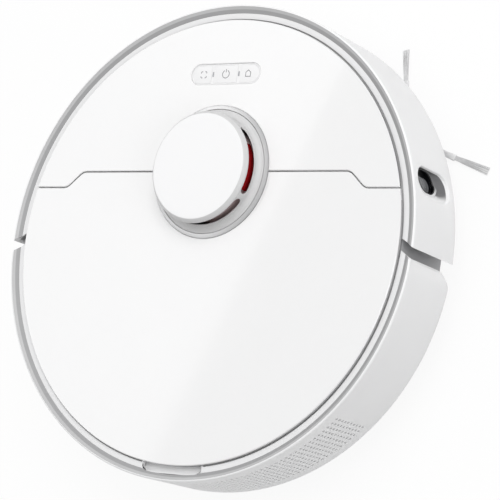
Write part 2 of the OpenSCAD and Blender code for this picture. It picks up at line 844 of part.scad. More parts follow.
module side_brush_bristles() {
    color([0.8, 0.8, 0.8]) translate([side_at[0], side_at[1], 0])
        for (a = side_angles) rotate([0, 0, a]) rotate([0, side_tilt, 0]) for (side = [-1, 1])
            translate([holder_l + 0.02, side * 1.3 - 0.8, 6]) rotate([0, 0, side * 1])
                cube([side_reach - holder_l, 1.6, 1.2]);
}

// ---- Caster ----

module caster_fork() {
    axle_y = caster_y - caster_trail;
    color([0.3, 0.3, 0.32]) {
        translate([0, caster_y, 28]) cylinder(r = cup_r - 1.5, h = 3);
        translate([0, caster_y, 30.9]) cylinder(r = 4, h = 15);
        both_sides() translate([8.8, axle_y - 6, caster_r]) cube([3, 12, 28.1 - caster_r]);
        both_sides() rod_x(6, 8.8, 11.8, axle_y, caster_r);
        rod_x(1.5, -9, 9, axle_y, caster_r);
    }
}

module caster_wheel() {
    axle_y = caster_y - caster_trail;
    color([0.9, 0.9, 0.9]) translate([0, axle_y, caster_r]) rotate([0, 90, 0]) rotate_extrude()
        polygon([[1.5 + fit, -8], [caster_r - 2, -8], [caster_r, -6], [caster_r, 6],
            [caster_r - 2, 8], [1.5 + fit, 8]]);
}

// ---- Drive units ----

module wheel_well() {
    well_top = pan_top - 0.5;
    color([0.28, 0.28, 0.3]) {
        difference() {
            box2(well, pan_z, well_top);
            box2([well[0] + [well_t, well_t], well[1] - [well_t, well_t]], 0, well_top - well_t);
        }
        rod_x(2.5, well[0][0] + well_t - 0.01, well[1][0] - well_t + 0.01, pivot_y, pivot_z);
    }
}

module wheel_well_right() { wheel_well(); }
module wheel_well_left() { mirror([1, 0, 0]) wheel_well(); }

module wheel_springs() {
    color("silver") both_sides() for (i = [0:6]) translate([wheel_x - 11 + i * 1.7, pivot_y, pivot_z])
        rotate([0, 90, 0]) rotate_extrude() translate([4.2, 0]) circle(r = 0.6);
}

module wheel_arm() {
    color([0.22, 0.22, 0.24]) difference() {
        union() {
            rod_x(17, arm_x, arm_x + arm_w, 0, axle_z);
            rod_x(9, arm_x, arm_x + arm_w, pivot_y, pivot_z);
            translate([arm_x, 0, 0]) rotate([90, 0, 90]) linear_extrude(height = arm_w)
                polygon([[-1, axle_z + 17], [pivot_y - 1, pivot_z + 9], [pivot_y - 1, pivot_z - 9],
                    [0, axle_z - 17]]);
            rod_x(axle_r, arm_x + arm_w - 0.01, wheel_x + wheel_w / 2 - 2, 0, axle_z);
        }
        rod_x(2.5 + fit, arm_x - 5, arm_x + arm_w + 5, pivot_y, pivot_z);
    }
}

module wheel_arm_right() { wheel_arm(); }
module wheel_arm_left() { mirror([1, 0, 0]) wheel_arm(); }

module wheel_rim() {
    spokes = 6;
    color([0.35, 0.35, 0.37]) translate([wheel_x, 0, axle_z]) rotate([0, 90, 0]) {
        tube(rim_r - 0.02, rim_r - 3, -wheel_w / 2, wheel_w / 2);
        tube(rim_r - 2, axle_r + fit, -3, 3);
        tube(8, axle_r + fit, -wheel_w / 2 + 1, wheel_w / 2 - 1);
        for (i = [0:spokes - 1]) rotate([0, 0, i * 360 / spokes])
            translate([7, -1.5, -wheel_w / 2 + 2]) cube([rim_r - 9, 3, wheel_w - 4]);
    }
}

module wheel_rim_right() { wheel_rim(); }
module wheel_rim_left() { mirror([1, 0, 0]) wheel_rim(); }

module tyre() {
    lugs = 30;
    lug_h = 2;
    half = wheel_w / 2;
    color([0.12, 0.12, 0.12]) translate([wheel_x, 0, axle_z]) rotate([0, 90, 0]) difference() {
        rotate_extrude() polygon([[rim_r, -half], [wheel_r - 1.5, -half], [wheel_r, 1.5 - half],
            [wheel_r, half - 1.5], [wheel_r - 1.5, half], [rim_r, half]]);
        for (i = [0:lugs - 1]) rotate([0, 0, i * 360 / lugs])
            translate([wheel_r - lug_h, -1.5, i % 2 == 0 ? -half - 1 : 2]) cube([5, 3, half - 1]);
    }
}

module tyre_right() { tyre(); }
module tyre_left() { mirror([1, 0, 0]) tyre(); }

// ---- Bumper mounting ----

module bumper_springs() {
    x = 60;
    coil_r = 3.4;
    y0 = sqrt(pow(pan_r, 2) - pow(x - coil_r - 0.6, 2)) + 0.5;
    color("silver") both_sides() for (i = [0:4]) translate([x, y0 + i * 1.35, 40])
        rotate([90, 0, 0]) rotate_extrude() translate([coil_r, 0]) circle(r = 0.4);
}

module bumper_switches() {
    color([0.15, 0.15, 0.15]) for (a = [68, 112]) rotate([0, 0, a]) translate([pan_r + 0.1, -7, 44])
        cube([wall_in_r - pan_r - bumper_travel - 0.8, 14, 8]);
}

chassis_base();
rear_housing();
rear_trim();
top_deck();
front_plate();
turret_base();
button_panel();
status_lights();
lidar_base();
lidar_belt();
charge_contacts();
cliff_windows();
battery_pack();
battery_cover();
main_board();
speaker();
blower_housing();
brush_chamber();
brush_motor();
side_brush_motor();
dust_bin();
bin_cover();
bin_filter();
bin_handle();
wheel_well_left();
wheel_well_right();
wheel_springs();
lid_hinge_pins();
bumper_springs();
bumper_switches();
brush_guard();
base_screws();
bumper_shell();
front_trim();
wall_sensor_window();
wall_sensor_lens();
dock_window();
lid_panel();
lid_frame();
turret_cap();
lidar_rotor();
lidar_window();
lidar_pulley();
spot_button();
power_button();
home_button();
brush_core();
brush_bristles();
side_brush_hub();
side_brush_bristles();
caster_fork();
caster_wheel();
wheel_arm_left();
wheel_arm_right();
wheel_rim_left();
wheel_rim_right();
tyre_left();
tyre_right();
impeller();
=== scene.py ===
"""Round robot vacuum cleaner: the finished surfaces, materials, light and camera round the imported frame.

Sizes are in millimetres and angles in degrees unless a name says otherwise; meshes are stored in metres.
The frame's axes are +X to the machine's right, +Y forwards and +Z up, with the origin on the floor.
"""
from __future__ import annotations

import json
import logging
from dataclasses import dataclass
from enum import Enum
from math import asin, ceil, cos, degrees, hypot, pi, radians, sin, sqrt, tan, tau
from typing import Callable, Iterable, Sequence

import bmesh
import bpy
import numpy as np
from bpy.types import ID, Material, Mesh, Node, NodeSocket, NodeTree, Object
from mathutils import Matrix, Vector


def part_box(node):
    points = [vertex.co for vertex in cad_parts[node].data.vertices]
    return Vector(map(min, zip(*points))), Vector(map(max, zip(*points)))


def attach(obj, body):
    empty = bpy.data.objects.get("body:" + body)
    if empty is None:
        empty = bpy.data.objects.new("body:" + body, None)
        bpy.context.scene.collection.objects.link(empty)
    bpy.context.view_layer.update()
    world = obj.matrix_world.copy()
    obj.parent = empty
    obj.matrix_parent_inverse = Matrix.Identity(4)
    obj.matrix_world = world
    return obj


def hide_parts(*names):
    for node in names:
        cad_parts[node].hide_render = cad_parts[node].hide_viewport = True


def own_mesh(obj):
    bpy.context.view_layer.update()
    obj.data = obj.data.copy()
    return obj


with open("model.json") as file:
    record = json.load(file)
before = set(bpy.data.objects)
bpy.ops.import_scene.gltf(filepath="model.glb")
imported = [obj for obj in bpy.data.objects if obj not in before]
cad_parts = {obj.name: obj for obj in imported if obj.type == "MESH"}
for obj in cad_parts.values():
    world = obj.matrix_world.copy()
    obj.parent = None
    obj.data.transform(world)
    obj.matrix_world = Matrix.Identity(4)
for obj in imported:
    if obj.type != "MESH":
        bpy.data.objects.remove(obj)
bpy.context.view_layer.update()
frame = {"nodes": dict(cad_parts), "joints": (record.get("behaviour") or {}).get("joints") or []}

LOG = logging.getLogger("robot_vacuum")
MM = 0.001
SOFT_EDGE = radians(32)
Point = Sequence[float]
Pair = tuple[float, float]
Triple = tuple[float, float, float]
Loop = list[Pair]
Section = list[tuple[float, float, bool]]
Face = tuple[int, ...]


# ---- Sizes taken from the frame ----


def node_box(node: str) -> tuple[np.ndarray, np.ndarray]:
    """The lowest and highest corner of a node of the frame, in millimetres."""
    low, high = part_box(node)
    return np.array(low) / MM, np.array(high) / MM


def middle(node: str) -> np.ndarray:
    """The middle of a node's box, in millimetres."""
    low, high = node_box(node)
    return (low + high) / 2


@dataclass(frozen=True)
class Datum:
    """The driving sizes of the machine, read from the frame."""

    body_r: float
    top_z: float
    skirt_z: float
    plate_r: float
    turret_y: float
    turret_top: float
    turret_base_r: float

    @classmethod
    def read(cls) -> Datum:
        """Reads the sizes from the boxes of the frame's nodes.

        Returns:
            The sizes.
        """
        shell_low, shell_high = node_box("bumper_shell")
        ring = node_box("turret_base")
        return cls(
            body_r=shell_high[1],
            top_z=node_box("front_plate")[1][2],
            skirt_z=shell_low[2],
            plate_r=-node_box("lid_panel")[0][1],
            turret_y=middle("turret_base")[1],
            turret_top=node_box("turret_cap")[1][2],
            turret_base_r=(ring[1][0] - ring[0][0]) / 2,
        )


# ---- Outlines and meshes ----


def arc(centre: Point, radius: float, start: float, end: float, steps: int = 6) -> Loop:
    """Points along an arc between two angles, both ends included, in so many straight stretches."""
    angles = np.radians(np.linspace(start, end, steps + 1))
    return [(centre[0] + radius * cos(a), centre[1] + radius * sin(a)) for a in angles]


def polar(angle: float, radius: float = 1.0) -> np.ndarray:
    """The point at an angle in degrees and a radius from the origin, in the plane."""
    return radius * np.array([cos(radians(angle)), sin(radians(angle))])


def obround(length: float, width: float, centre: Point = (0.0, 0.0), steps: int = 16) -> Loop:
    """The outline of a slot with round ends, longer along its first axis.

    Args:
        length: The length over the round ends.
        width: The width.
        centre: The middle of the slot.
        steps: The number of straight stretches in each end.

    Returns:
        The outline, anticlockwise.
    """
    reach = (length - width) / 2
    right = arc((centre[0] + reach, centre[1]), width / 2, -90, 90, steps)
    left = arc((centre[0] - reach, centre[1]), width / 2, 90, 270, steps)
    return right + left


def offset(loop: Loop, distance: float) -> Loop:
    """An anticlockwise outline moved inwards by a small distance.

    Args:
        loop: The outline.
        distance: How far each side moves in; below zero it moves out.

    Returns:
        The moved outline, with as many points.
    """
    points = np.array(loop, float)
    ahead = np.roll(points, -1, axis=0) - points
    ahead /= np.maximum(np.linalg.norm(ahead, axis=1), 1e-9)[:, None]
    behind = np.roll(ahead, 1, axis=0)
    inward = np.stack([-(ahead + behind)[:, 1], (ahead + behind)[:, 0]], axis=1)
    square = np.maximum((inward**2).sum(axis=1), 0.4)
    return [tuple(p) for p in points + inward * (2 * distance / square)[:, None]]


class Sheet:
    """Points and faces of one piece, in millimetres."""

    def __init__(self) -> None:
        """Starts with no points."""
        self.points: list[Point] = []
        self.faces: list[Face] = []

    def add(self, points: Iterable[Point], faces: Iterable[Face]) -> Sheet:
        """Adds points and the faces between them.

        Args:
            points: The new points.
            faces: Faces whose numbers count from the first new point.

        Returns:
            This sheet.
        """
        first = len(self.points)
        self.points += [tuple(map(float, p)) for p in points]
        self.faces += [tuple(first + i for i in f) for f in faces]
        return self

    def grid(
        self, rows: np.ndarray, closed_rows: bool = False, closed_columns: bool = False, capped: bool = False,
        keep: Callable[[int, int], bool] | None = None,
    ) -> Sheet:
        """Adds a grid of four-sided faces.

        Args:
            rows: Points as rows by columns by three.
            closed_rows: Whether the last row joins the first.
            closed_columns: Whether the last column joins the first.
            capped: Whether the two open ends get a face each.
            keep: Says for a row and a column whether the face there is made.

        Returns:
            This sheet.
        """
        n, m = rows.shape[:2]
        faces = [
            (i * m + j, i * m + (j + 1) % m, (i + 1) % n * m + (j + 1) % m, (i + 1) % n * m + j)
            for i in range(n if closed_rows else n - 1)
            for j in range(m if closed_columns else m - 1)
            if keep is None or keep(i, j)
        ]
        if capped:
            numbers = np.arange(n * m).reshape(n, m)
            faces += (numbers if closed_columns else numbers.T)[[0, -1]].tolist()
        return self.add(rows.reshape(-1, 3), faces)

    def loft(self, rows: Sequence[Sequence[Point]]) -> Sheet:
        """Adds closed rings joined in order, with a face over each end."""
        return self.grid(np.array(rows), closed_columns=True, capped=True)

    def lathe(
        self, profile: Loop, centre: Point = (0.0, 0.0), steps: int = 192, span: Pair = (0.0, 360.0)
    ) -> Sheet:
        """Adds a closed profile turned round an upright axis.

        Args:
            profile: The closed profile as radius and height.
            centre: The axis in plan.
            steps: The number of stretches in the turn.
            span: The angles of its start and end.

        Returns:
            This sheet.
        """
        whole = abs(span[1] - span[0] - 360) < 1e-6
        angles = np.radians(np.linspace(*span, steps + 1)[: steps if whole else steps + 1])
        rows = turned_rows(profile, centre, angles)
        return self.grid(rows, closed_rows=True, closed_columns=whole, capped=not whole)

    def plate(
        self, loop: Loop, low: float, high: float, ease: float = 0.0, holes: Sequence[Loop] = (), cuts: int = 3
    ) -> Sheet:
        """Adds an upright-sided plate with its top edges rounded.

        Args:
            loop: The outline in plan, anticlockwise.
            low: The height of the underside.
            high: The height of the top.
            ease: The radius of the top edges.
            holes: Outlines of holes through the plate, anticlockwise.
            cuts: How many facets round the top edges; one makes a bevel.

        Returns:
            This sheet.
        """
        turns = np.linspace(0, pi / 2, cuts + 1) if ease else np.array([0.0])
        rims = []
        for k, outline in enumerate([loop, *holes]):
            side = 1 if k == 0 else -1
            levels = [(0.0, low)] + [(ease * (1 - cos(t)), high - ease * (1 - sin(t))) for t in turns]
            rows = np.array([[(x, y, z) for x, y in offset(outline, side * inset)] for inset, z in levels])
            start = len(self.points)
            self.grid(rows, closed_columns=True)
            count = len(outline)
            rims.append((range(start, start + count), range(len(self.points) - count, len(self.points))))
        for level in (0, 1):
            self.fill([rim[level] for rim in rims])
        return self

    def fill(self, rims: Sequence[Sequence[int]]) -> None:
        """Fills the flat area between closed rings of points, the first of them outermost.

        Args:
            rims: Numbers of the points of each ring, in order.
        """
        bm = bmesh.new()
        numbers = [i for rim in rims for i in rim]
        made = {i: bm.verts.new(self.points[i]) for i in numbers}
        edges = [bm.edges.new((made[a], made[b])) for rim in rims for a, b in zip(rim, [*rim[1:], rim[0]])]
        bm.verts.index_update()
        result = bmesh.ops.triangle_fill(bm, use_beauty=True, use_dissolve=False, edges=edges)
        faces = [f for f in result["geom"] if isinstance(f, bmesh.types.BMFace)]
        self.faces += [tuple(numbers[v.index] for v in f.verts) for f in faces]
        bm.free()

    def block(self, low: Point, high: Point) -> Sheet:
        """Adds a plain box between two corners.

        Args:
            low: The lowest corner.
            high: The highest corner.

        Returns:
            This sheet.
        """
        xs, ys, zs = zip(low, high)
        points = [(x, y, z) for z in zs for y in ys for x in xs]
        sides = [(0, 2, 3, 1), (4, 5, 7, 6), (0, 1, 5, 4), (2, 6, 7, 3), (0, 4, 6, 2), (1, 3, 7, 5)]
        return self.add(points, sides)

    def placed(self, matrix: Matrix) -> Sheet:
        """Moves and turns all of the points, in millimetres."""
        self.points = [tuple(matrix @ Vector(p)) for p in self.points]
        return self

    def moved(self, place: Point) -> Sheet:
        """Moves all of the points."""
        return self.placed(Matrix.Translation(tuple(place)))

    def lying(self) -> Sheet:
        """Lays the upright axis down along X."""
        return self.placed(Matrix.Rotation(radians(90), 4, "Y"))


def turned_rows(profile: Loop, centre: Point, angles: Iterable[float]) -> np.ndarray:
    """A profile of radius and height turned to angles in radians round an upright axis, as rows of points."""
    x, y = centre
    return np.array([[(x + r * cos(a), y + r * sin(a), z) for a in angles] for r, z in profile])


def mirrored(profile: Loop) -> Loop:
    """Half a profile followed by its mirror image below height zero."""
    return profile + [(r, -z) for r, z in reversed(profile)]


def linked(name: str, data: ID) -> Object:
    """A new object of the scene with its data.

    Args:
        name: Its name.
        data: Its mesh, light or camera.

    Returns:
        The object.
    """
    obj = bpy.data.objects.new(name, data)
    bpy.context.scene.collection.objects.link(obj)
    return obj


def mesh_piece(
    name: str, body: str, finish: Finish, mesh: Mesh, node: str = "", weld: float = 0.002, bevel: float = 0.0
) -> Object:
    """Cleans a mesh in metres, dresses it and ties it to the frame.

    Args:
        name: The piece's name.
        body: The body that it rides on.
        finish: Its finish.
        mesh: Its mesh.
        node: The node that it replaces, if any.
        weld: Points closer together than this are merged.
        bevel: The width of its eased edges.

    Returns:
        The finished piece.
    """
    bm = bmesh.new()
    bm.from_mesh(mesh)
    bmesh.ops.remove_doubles(bm, verts=bm.verts, dist=weld * MM)
    bmesh.ops.dissolve_degenerate(bm, edges=bm.edges, dist=1e-7)
    bmesh.ops.recalc_face_normals(bm, faces=bm.faces)
    if bevel:
        sharp = [e for e in bm.edges if len(e.link_faces) == 2 and e.calc_face_angle(0) > SOFT_EDGE]
        bmesh.ops.bevel(bm, geom=sharp, offset=bevel * MM, offset_type="OFFSET", segments=2, profile=0.5,
                        affect="EDGES", clamp_overlap=True)
    for edge in bm.edges:
        edge.smooth = len(edge.link_faces) != 2 or edge.calc_face_angle(0) < SOFT_EDGE
    for face in bm.faces:
        face.smooth = True
        face.material_index = 0
    bm.to_mesh(mesh)
    bm.free()
    mesh.name = name
    mesh.materials.clear()
    mesh.materials.append(finish.material())
    obj = linked(name, mesh)
    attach(obj, body)
    if node:
        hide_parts(node)
    LOG.info("%s: %d faces on %s", name, len(mesh.polygons), body)
    return obj


def plain_mesh(sheet: Sheet) -> Mesh:
    """The mesh of a sheet, in metres.

    Args:
        sheet: The sheet, in millimetres.

    Returns:
        The mesh.
    """
    mesh = bpy.data.meshes.new("sheet")
    mesh.from_pydata([(x * MM, y * MM, z * MM) for x, y, z in sheet.points], [], sheet.faces)
    return mesh


def make(name: str, body: str, finish: Finish, sheet: Sheet, node: str = "", weld: float = 0.002) -> Object:
    """Makes a finished piece from a sheet."""
    return mesh_piece(name, body, finish, plain_mesh(sheet), node, weld)


def refine(node: str, body: str, finish: Finish, bevel: float = 0.25, name: str = "") -> Object:
    """Makes a finished copy of a node: merged, its edges eased and its curves shaded smooth.

    Args:
        node: The node that the piece stands for.
        body: The body that it rides on.
        finish: Its finish.
        bevel: The width of its eased edges.
        name: The piece's name, if not made from the node's.

    Returns:
        The finished piece.
    """
    mesh = frame["nodes"][node].data.copy()
    bm = bmesh.new()
    bm.from_mesh(mesh)
    bmesh.ops.remove_doubles(bm, verts=bm.verts, dist=0.004 * MM)
    bmesh.ops.dissolve_limit(bm, angle_limit=radians(0.8), verts=bm.verts, edges=bm.edges)
    bm.to_mesh(mesh)
    bm.free()
    for layer in list(mesh.uv_layers):
        mesh.uv_layers.remove(layer)
    return mesh_piece(name or f"{node}_piece", body, finish, mesh, node, bevel=bevel)


# ---- Shader groups and finishes ----


class Socket(Enum):
    """Kinds of socket in shader groups and geometry trees."""

    NUMBER = "NodeSocketFloat"
    COUNT = "NodeSocketInt"
    VECTOR = "NodeSocketVector"
    COLOUR = "NodeSocketColor"
    SHAPE = "NodeSocketGeometry"
    MATERIAL = "NodeSocketMaterial"
    OBJECT = "NodeSocketObject"


class Nodes:
    """A small writer of node trees."""

    def __init__(self, tree: NodeTree) -> None:
        """Takes the tree to write in."""
        self.tree = tree

    @classmethod
    def emptied(cls, owner: ID) -> Nodes:
        """Starts the emptied node tree of a material or world.

        Args:
            owner: The material or world.

        Returns:
            A writer for its tree.
        """
        owner.use_nodes = True
        owner.node_tree.nodes.clear()
        return cls(owner.node_tree)

    @classmethod
    def group(cls, name: str, kind: str, outputs: dict[str, Socket], **inputs: Socket) -> Nodes:
        """Starts a node group with named sockets.

        Args:
            name: The group's name.
            kind: Shader or Geometry.
            outputs: Its outputs in order.
            inputs: Its inputs in order, with underscores for spaces.

        Returns:
            A writer for the group, which already holds its input and output nodes.
        """
        writer = cls(bpy.data.node_groups.new(name, f"{kind}NodeTree"))
        for way, sockets in (("INPUT", inputs), ("OUTPUT", outputs)):
            for label, socket in sockets.items():
                writer.tree.interface.new_socket(label.replace("_", " "), in_out=way, socket_type=socket.value)
        writer.given = writer.add("NodeGroupInput").outputs
        writer.exit = writer.add("NodeGroupOutput")
        return writer

    def close(self, result: NodeSocket) -> NodeTree:
        """Joins a group's result to its output and gives the tree."""
        self.tree.links.new(result, self.exit.inputs[0])
        return self.tree

    def add(self, kind: str, inputs: dict[str | int, object] | None = None, **settings: object) -> Node:
        """Adds a node, sets its properties and joins or fills its inputs.

        Args:
            kind: The node's type.
            inputs: For each input, a socket to join or a value to set.
            settings: Properties of the node.

        Returns:
            The node.
        """
        node = self.tree.nodes.new(kind)
        for key, value in settings.items():
            setattr(node, key, value)
        for key, value in (inputs or {}).items():
            if isinstance(value, NodeSocket):
                self.tree.links.new(value, node.inputs[key])
            else:
                node.inputs[key].default_value = value
        return node

    def math(self, operation: str, *values: object) -> NodeSocket:
        """Adds a Math node for shaders or geometry and gives its result."""
        return self.add("ShaderNodeMath", dict(enumerate(values)), operation=operation).outputs[0]

    def vector(self, operation: str, *values: object) -> NodeSocket:
        """Adds a Vector Math node and gives its vector result."""
        return self.add("ShaderNodeVectorMath", dict(enumerate(values)), operation=operation).outputs[0]

    def rate(self) -> NodeSocket:
        """The scale of a pattern whose size is the group's input in millimetres."""
        return self.math("DIVIDE", 1.0 / MM, self.given["Size"])

    def remap(self, value: NodeSocket, *limits: object, **settings: object) -> NodeSocket:
        """Adds a Map Range node: the value, then the range it comes from and the one it goes to."""
        return self.add("ShaderNodeMapRange", dict(enumerate((value, *limits))), **settings).outputs[0]

    def blend(self, share: object, first: object, second: object, **settings: object) -> NodeSocket:
        """Adds a Mix node for colours and gives the colour."""
        mixed = self.add("ShaderNodeMix", {0: share, 6: first, 7: second}, data_type="RGBA", **settings)
        return mixed.outputs[2]

    def looked_at(self) -> NodeSocket:
        """One for camera, glossy and transmission rays, else zero.

        Returns:
            The result's socket.
        """
        path = self.add("ShaderNodeLightPath").outputs
        bounced = self.math("MAXIMUM", path["Is Glossy Ray"], path["Is Transmission Ray"])
        return self.math("MAXIMUM", path["Is Camera Ray"], bounced)


def build_grain() -> NodeTree:
    """The group that turns a place into the height of the fine skin of moulded plastic, rubber and paper.

    Returns:
        The group.
    """
    w = Nodes.group("moulded_grain", "Shader", {"Height": Socket.NUMBER},
                    Vector=Socket.VECTOR, Size=Socket.NUMBER, Pebble=Socket.NUMBER)
    rate = w.rate()
    place = w.add("ShaderNodeVectorMath", {0: w.given["Vector"], "Scale": rate}, operation="SCALE").outputs[0]
    fine = w.add("ShaderNodeTexNoise", {"Vector": place, "Scale": 1.0, "Detail": 3.0, "Roughness": 0.6})
    pebble = w.add("ShaderNodeTexVoronoi", {"Vector": place, "Scale": 1.6}, feature="SMOOTH_F1")
    level = w.add("ShaderNodeMix", {0: w.given["Pebble"], 2: fine.outputs["Fac"], 3: pebble.outputs["Distance"]},
                  data_type="FLOAT")
    return w.close(level.outputs[0])


def build_mottle() -> NodeTree:
    """The group for slow, faint changes between a light and a dark tone over a surface.

    Returns:
        The group.
    """
    w = Nodes.group("mottle", "Shader", {"Color": Socket.COLOUR},
                    Vector=Socket.VECTOR, Size=Socket.NUMBER, Light=Socket.COLOUR, Dark=Socket.COLOUR)
    slow = w.add("ShaderNodeTexNoise", {"Vector": w.given["Vector"], "Scale": w.rate(), "Detail": 4.0})
    share = w.remap(slow.outputs["Fac"], 0.35, 0.65, 0.0, 1.0)
    return w.close(w.blend(share, w.given["Light"], w.given["Dark"]))


def build_handling() -> NodeTree:
    """The group for the uneven roughness that touching and cleaning leave.

    Returns:
        The group.
    """
    w = Nodes.group("handling", "Shader", {"Roughness": Socket.NUMBER},
                    Vector=Socket.VECTOR, Size=Socket.NUMBER, Least=Socket.NUMBER, Most=Socket.NUMBER)
    smear = w.add("ShaderNodeTexNoise", {"Vector": w.given["Vector"], "Scale": w.rate(), "Detail": 5.0,
                                         "Roughness": 0.65, "Distortion": 0.6})
    return w.close(w.remap(smear.outputs["Fac"], 0.3, 0.7, w.given["Least"], w.given["Most"]))


def build_turned_lines() -> NodeTree:
    """The group for fine lines that run round an upright axis, as on satin metal.

    Returns:
        The group.
    """
    w = Nodes.group("turned_lines", "Shader", {"Level": Socket.NUMBER},
                    Vector=Socket.VECTOR, Size=Socket.NUMBER, Length=Socket.NUMBER)
    x, y, z = w.add("ShaderNodeSeparateXYZ", {0: w.given["Vector"]}).outputs
    squares = [w.math("MULTIPLY", axis, axis) for axis in (x, y)]
    across = w.math("SQRT", w.math("ADD", *squares))
    rate = w.rate()
    turn = w.math("DIVIDE", w.math("ARCTAN2", y, x), w.given["Length"])
    place = w.add("ShaderNodeCombineXYZ", {0: w.math("MULTIPLY", across, rate), 1: turn,
                                           2: w.math("MULTIPLY", z, rate)})
    lines = w.add("ShaderNodeTexNoise", {"Vector": place.outputs[0], "Scale": 1.0, "Detail": 2.0})
    return w.close(lines.outputs["Fac"])


class Surface(Enum):
    """How a finish breaks up close to."""

    MOULDED = "fine moulded grain"
    LACQUER = "smooth lacquer"
    TURNED = "lines round the machine's axis"
    FIBRE = "fibres along the piece"


@dataclass(frozen=True)
class Finish:
    """One finish: its tones, sheen and fine relief, and for some painted light and shade round an upright axis."""

    slot: str
    colour: Triple
    sheen: Pair = (0.34, 0.42)
    surface: Surface = Surface.MOULDED
    contrast: float = 0.03
    relief: float = 0.012
    grain: float = 0.7
    pebble: float = 0.35
    metallic: float = 0.0
    coat: float = 0.0
    specular: float = 0.5
    suffix: str = "finish"
    # inner, fade and about give painted light and shade: the inner colour near an upright axis through about,
    # fading to the finish's colour between the two fade radii.
    inner: Triple | None = None
    fade: Pair = (0.0, 0.0)
    about: Pair = (0.0, 0.0)

    def material(self) -> Material:
        """The finish's procedural material on Object coordinates, made the first time that it is asked for.

        Returns:
            The material.
        """
        name = f"{self.slot}_{self.suffix}"
        if name in bpy.data.materials:
            return bpy.data.materials[name]
        made = bpy.data.materials.new(name)
        made.diffuse_color = light = (*self.colour, 1.0)
        w = Nodes.emptied(made)
        place = w.add("ShaderNodeTexCoord").outputs["Object"]
        dark = (*(c * (1 - self.contrast) for c in self.colour), 1.0)
        tone = self.group(w, "mottle", Vector=place, Size=40.0, Light=light, Dark=dark)
        sheen = self.group(w, "handling", Vector=place, Size=25.0, Least=self.sheen[0], Most=self.sheen[1])
        height = self.relief_height(w, place)
        bump = w.add("ShaderNodeBump", {"Strength": 0.6, "Distance": self.relief * MM, "Height": height})
        tone = self.with_painted_shade(w, place, tone)
        # The base colour is darkened where the fine relief lies low: painted shade in the hollows of the grain.
        depth = w.remap(height, 0.3, 0.7, 1 - self.contrast, 1.0)
        shader = w.add("ShaderNodeBsdfPrincipled", {
            "Base Color": w.blend(1.0, tone, depth, blend_type="MULTIPLY"), "Roughness": sheen,
            "Metallic": self.metallic, "Specular IOR Level": self.specular, "Coat Weight": self.coat,
            "Coat Roughness": 0.04, "Normal": bump.outputs["Normal"],
        })
        w.add("ShaderNodeOutputMaterial", {"Surface": shader.outputs["BSDF"]}, is_active_output=True)
        return made

    def group(self, w: Nodes, name: str, **inputs: object) -> NodeSocket:
        """Places a shared group in the material with its own values and gives its result."""
        return w.add("ShaderNodeGroup", inputs, node_tree=bpy.data.node_groups[name]).outputs[0]

    def relief_height(self, w: Nodes, place: NodeSocket) -> NodeSocket:
        """The height between 0 and 1 that the bump reads, by the kind of surface.

        Args:
            w: The material's writer.
            place: The Object coordinates.

        Returns:
            The height's socket.
        """
        if self.surface is Surface.TURNED:
            return self.group(w, "turned_lines", Vector=place, Size=self.grain, Length=0.5)
        if self.surface is Surface.FIBRE:
            place = w.add("ShaderNodeMapping", {"Vector": place, "Scale": (0.12, 0.12, 1.0)}).outputs[0]
        pebble = 0.0 if self.surface is Surface.LACQUER else self.pebble
        return self.group(w, "moulded_grain", Vector=place, Size=self.grain, Pebble=pebble)

    def with_painted_shade(self, w: Nodes, place: NodeSocket, tone: NodeSocket) -> NodeSocket:
        """The colour with painted light and shade: another colour nearer to an upright axis, where the finish has
        it.

        Args:
            w: The material's writer.
            place: The Object coordinates.
            tone: The mottled colour.

        Returns:
            The colour's socket.
        """
        if self.inner is None:
            return tone
        axis = (self.about[0] * MM, self.about[1] * MM, 0.0)
        flat = w.vector("MULTIPLY", w.vector("SUBTRACT", place, axis), (1.0, 1.0, 0.0))
        far = w.add("ShaderNodeVectorMath", {0: flat}, operation="LENGTH").outputs["Value"]
        near, past = (limit * MM for limit in self.fade)
        share = w.remap(far, near, past, 0.0, 1.0, interpolation_type="SMOOTHSTEP")
        return w.blend(share, (*self.inner, 1.0), tone)


def grey(level: float) -> Triple:
    """A faintly cool grey."""
    return level, level, level + 0.005


# Inside 168.7 mm, on the ledge and at the back of the sensor's bore, the white is painted darker: painted shade
# between the plates and the trim.
SHELL_WHITE_SHADED_LEDGE = Finish(
    "white_shell", grey(0.86), (0.4, 0.48), relief=0.01, contrast=0.012, inner=grey(0.78),
    fade=(168.7, 168.9),
)
# The cap's top, inside 38.6 mm of the turret's axis, is white; its shoulder, wall and flare are painted darker:
# painted shade on the cap's sides.
CAP_WHITE_SHADED_SIDES = Finish(
    "white_shell", (0.62, 0.62, 0.622), (0.34, 0.42), relief=0.01, contrast=0.012, suffix="cap",
    inner=grey(0.86), fade=(38.6, 39.1), about=(0.0, 49.5),
)
# The ring is white near a point left of the turret and grades to grey away from it: painted shade on the side away
# from the light.
RING_PAINTED_SHADE = Finish(
    "white_shell", grey(0.46), (0.36, 0.44), relief=0.01, contrast=0.012, suffix="ring",
    inner=grey(0.86), fade=(58.0, 86.0), about=(-40.0, 49.5),
)
# The scoop is nearly white at its brim and dark towards its bottom: painted shade down the funnel of the wall
# sensor.
SCOOP_PAINTED_SHADE = Finish(
    "sensor_grey", grey(0.84), (0.34, 0.44), Surface.LACQUER, 0.03, 0.003, 3.0, suffix="scoop",
    inner=grey(0.13), fade=(183.1, 187.1), about=(-15.9, 57.8),
)
GLOSS_WHITE = Finish(
    "gloss_white", (0.83, 0.83, 0.832), (0.1, 0.14), Surface.LACQUER, 0.006, 0.0015, 6.0, coat=0.6
)
WHITE_INNER = Finish("white_inner", grey(0.8), (0.36, 0.46), contrast=0.02)
PANEL_WHITE = Finish("white_inner", grey(0.83), (0.3, 0.36), contrast=0.01, suffix="panel")
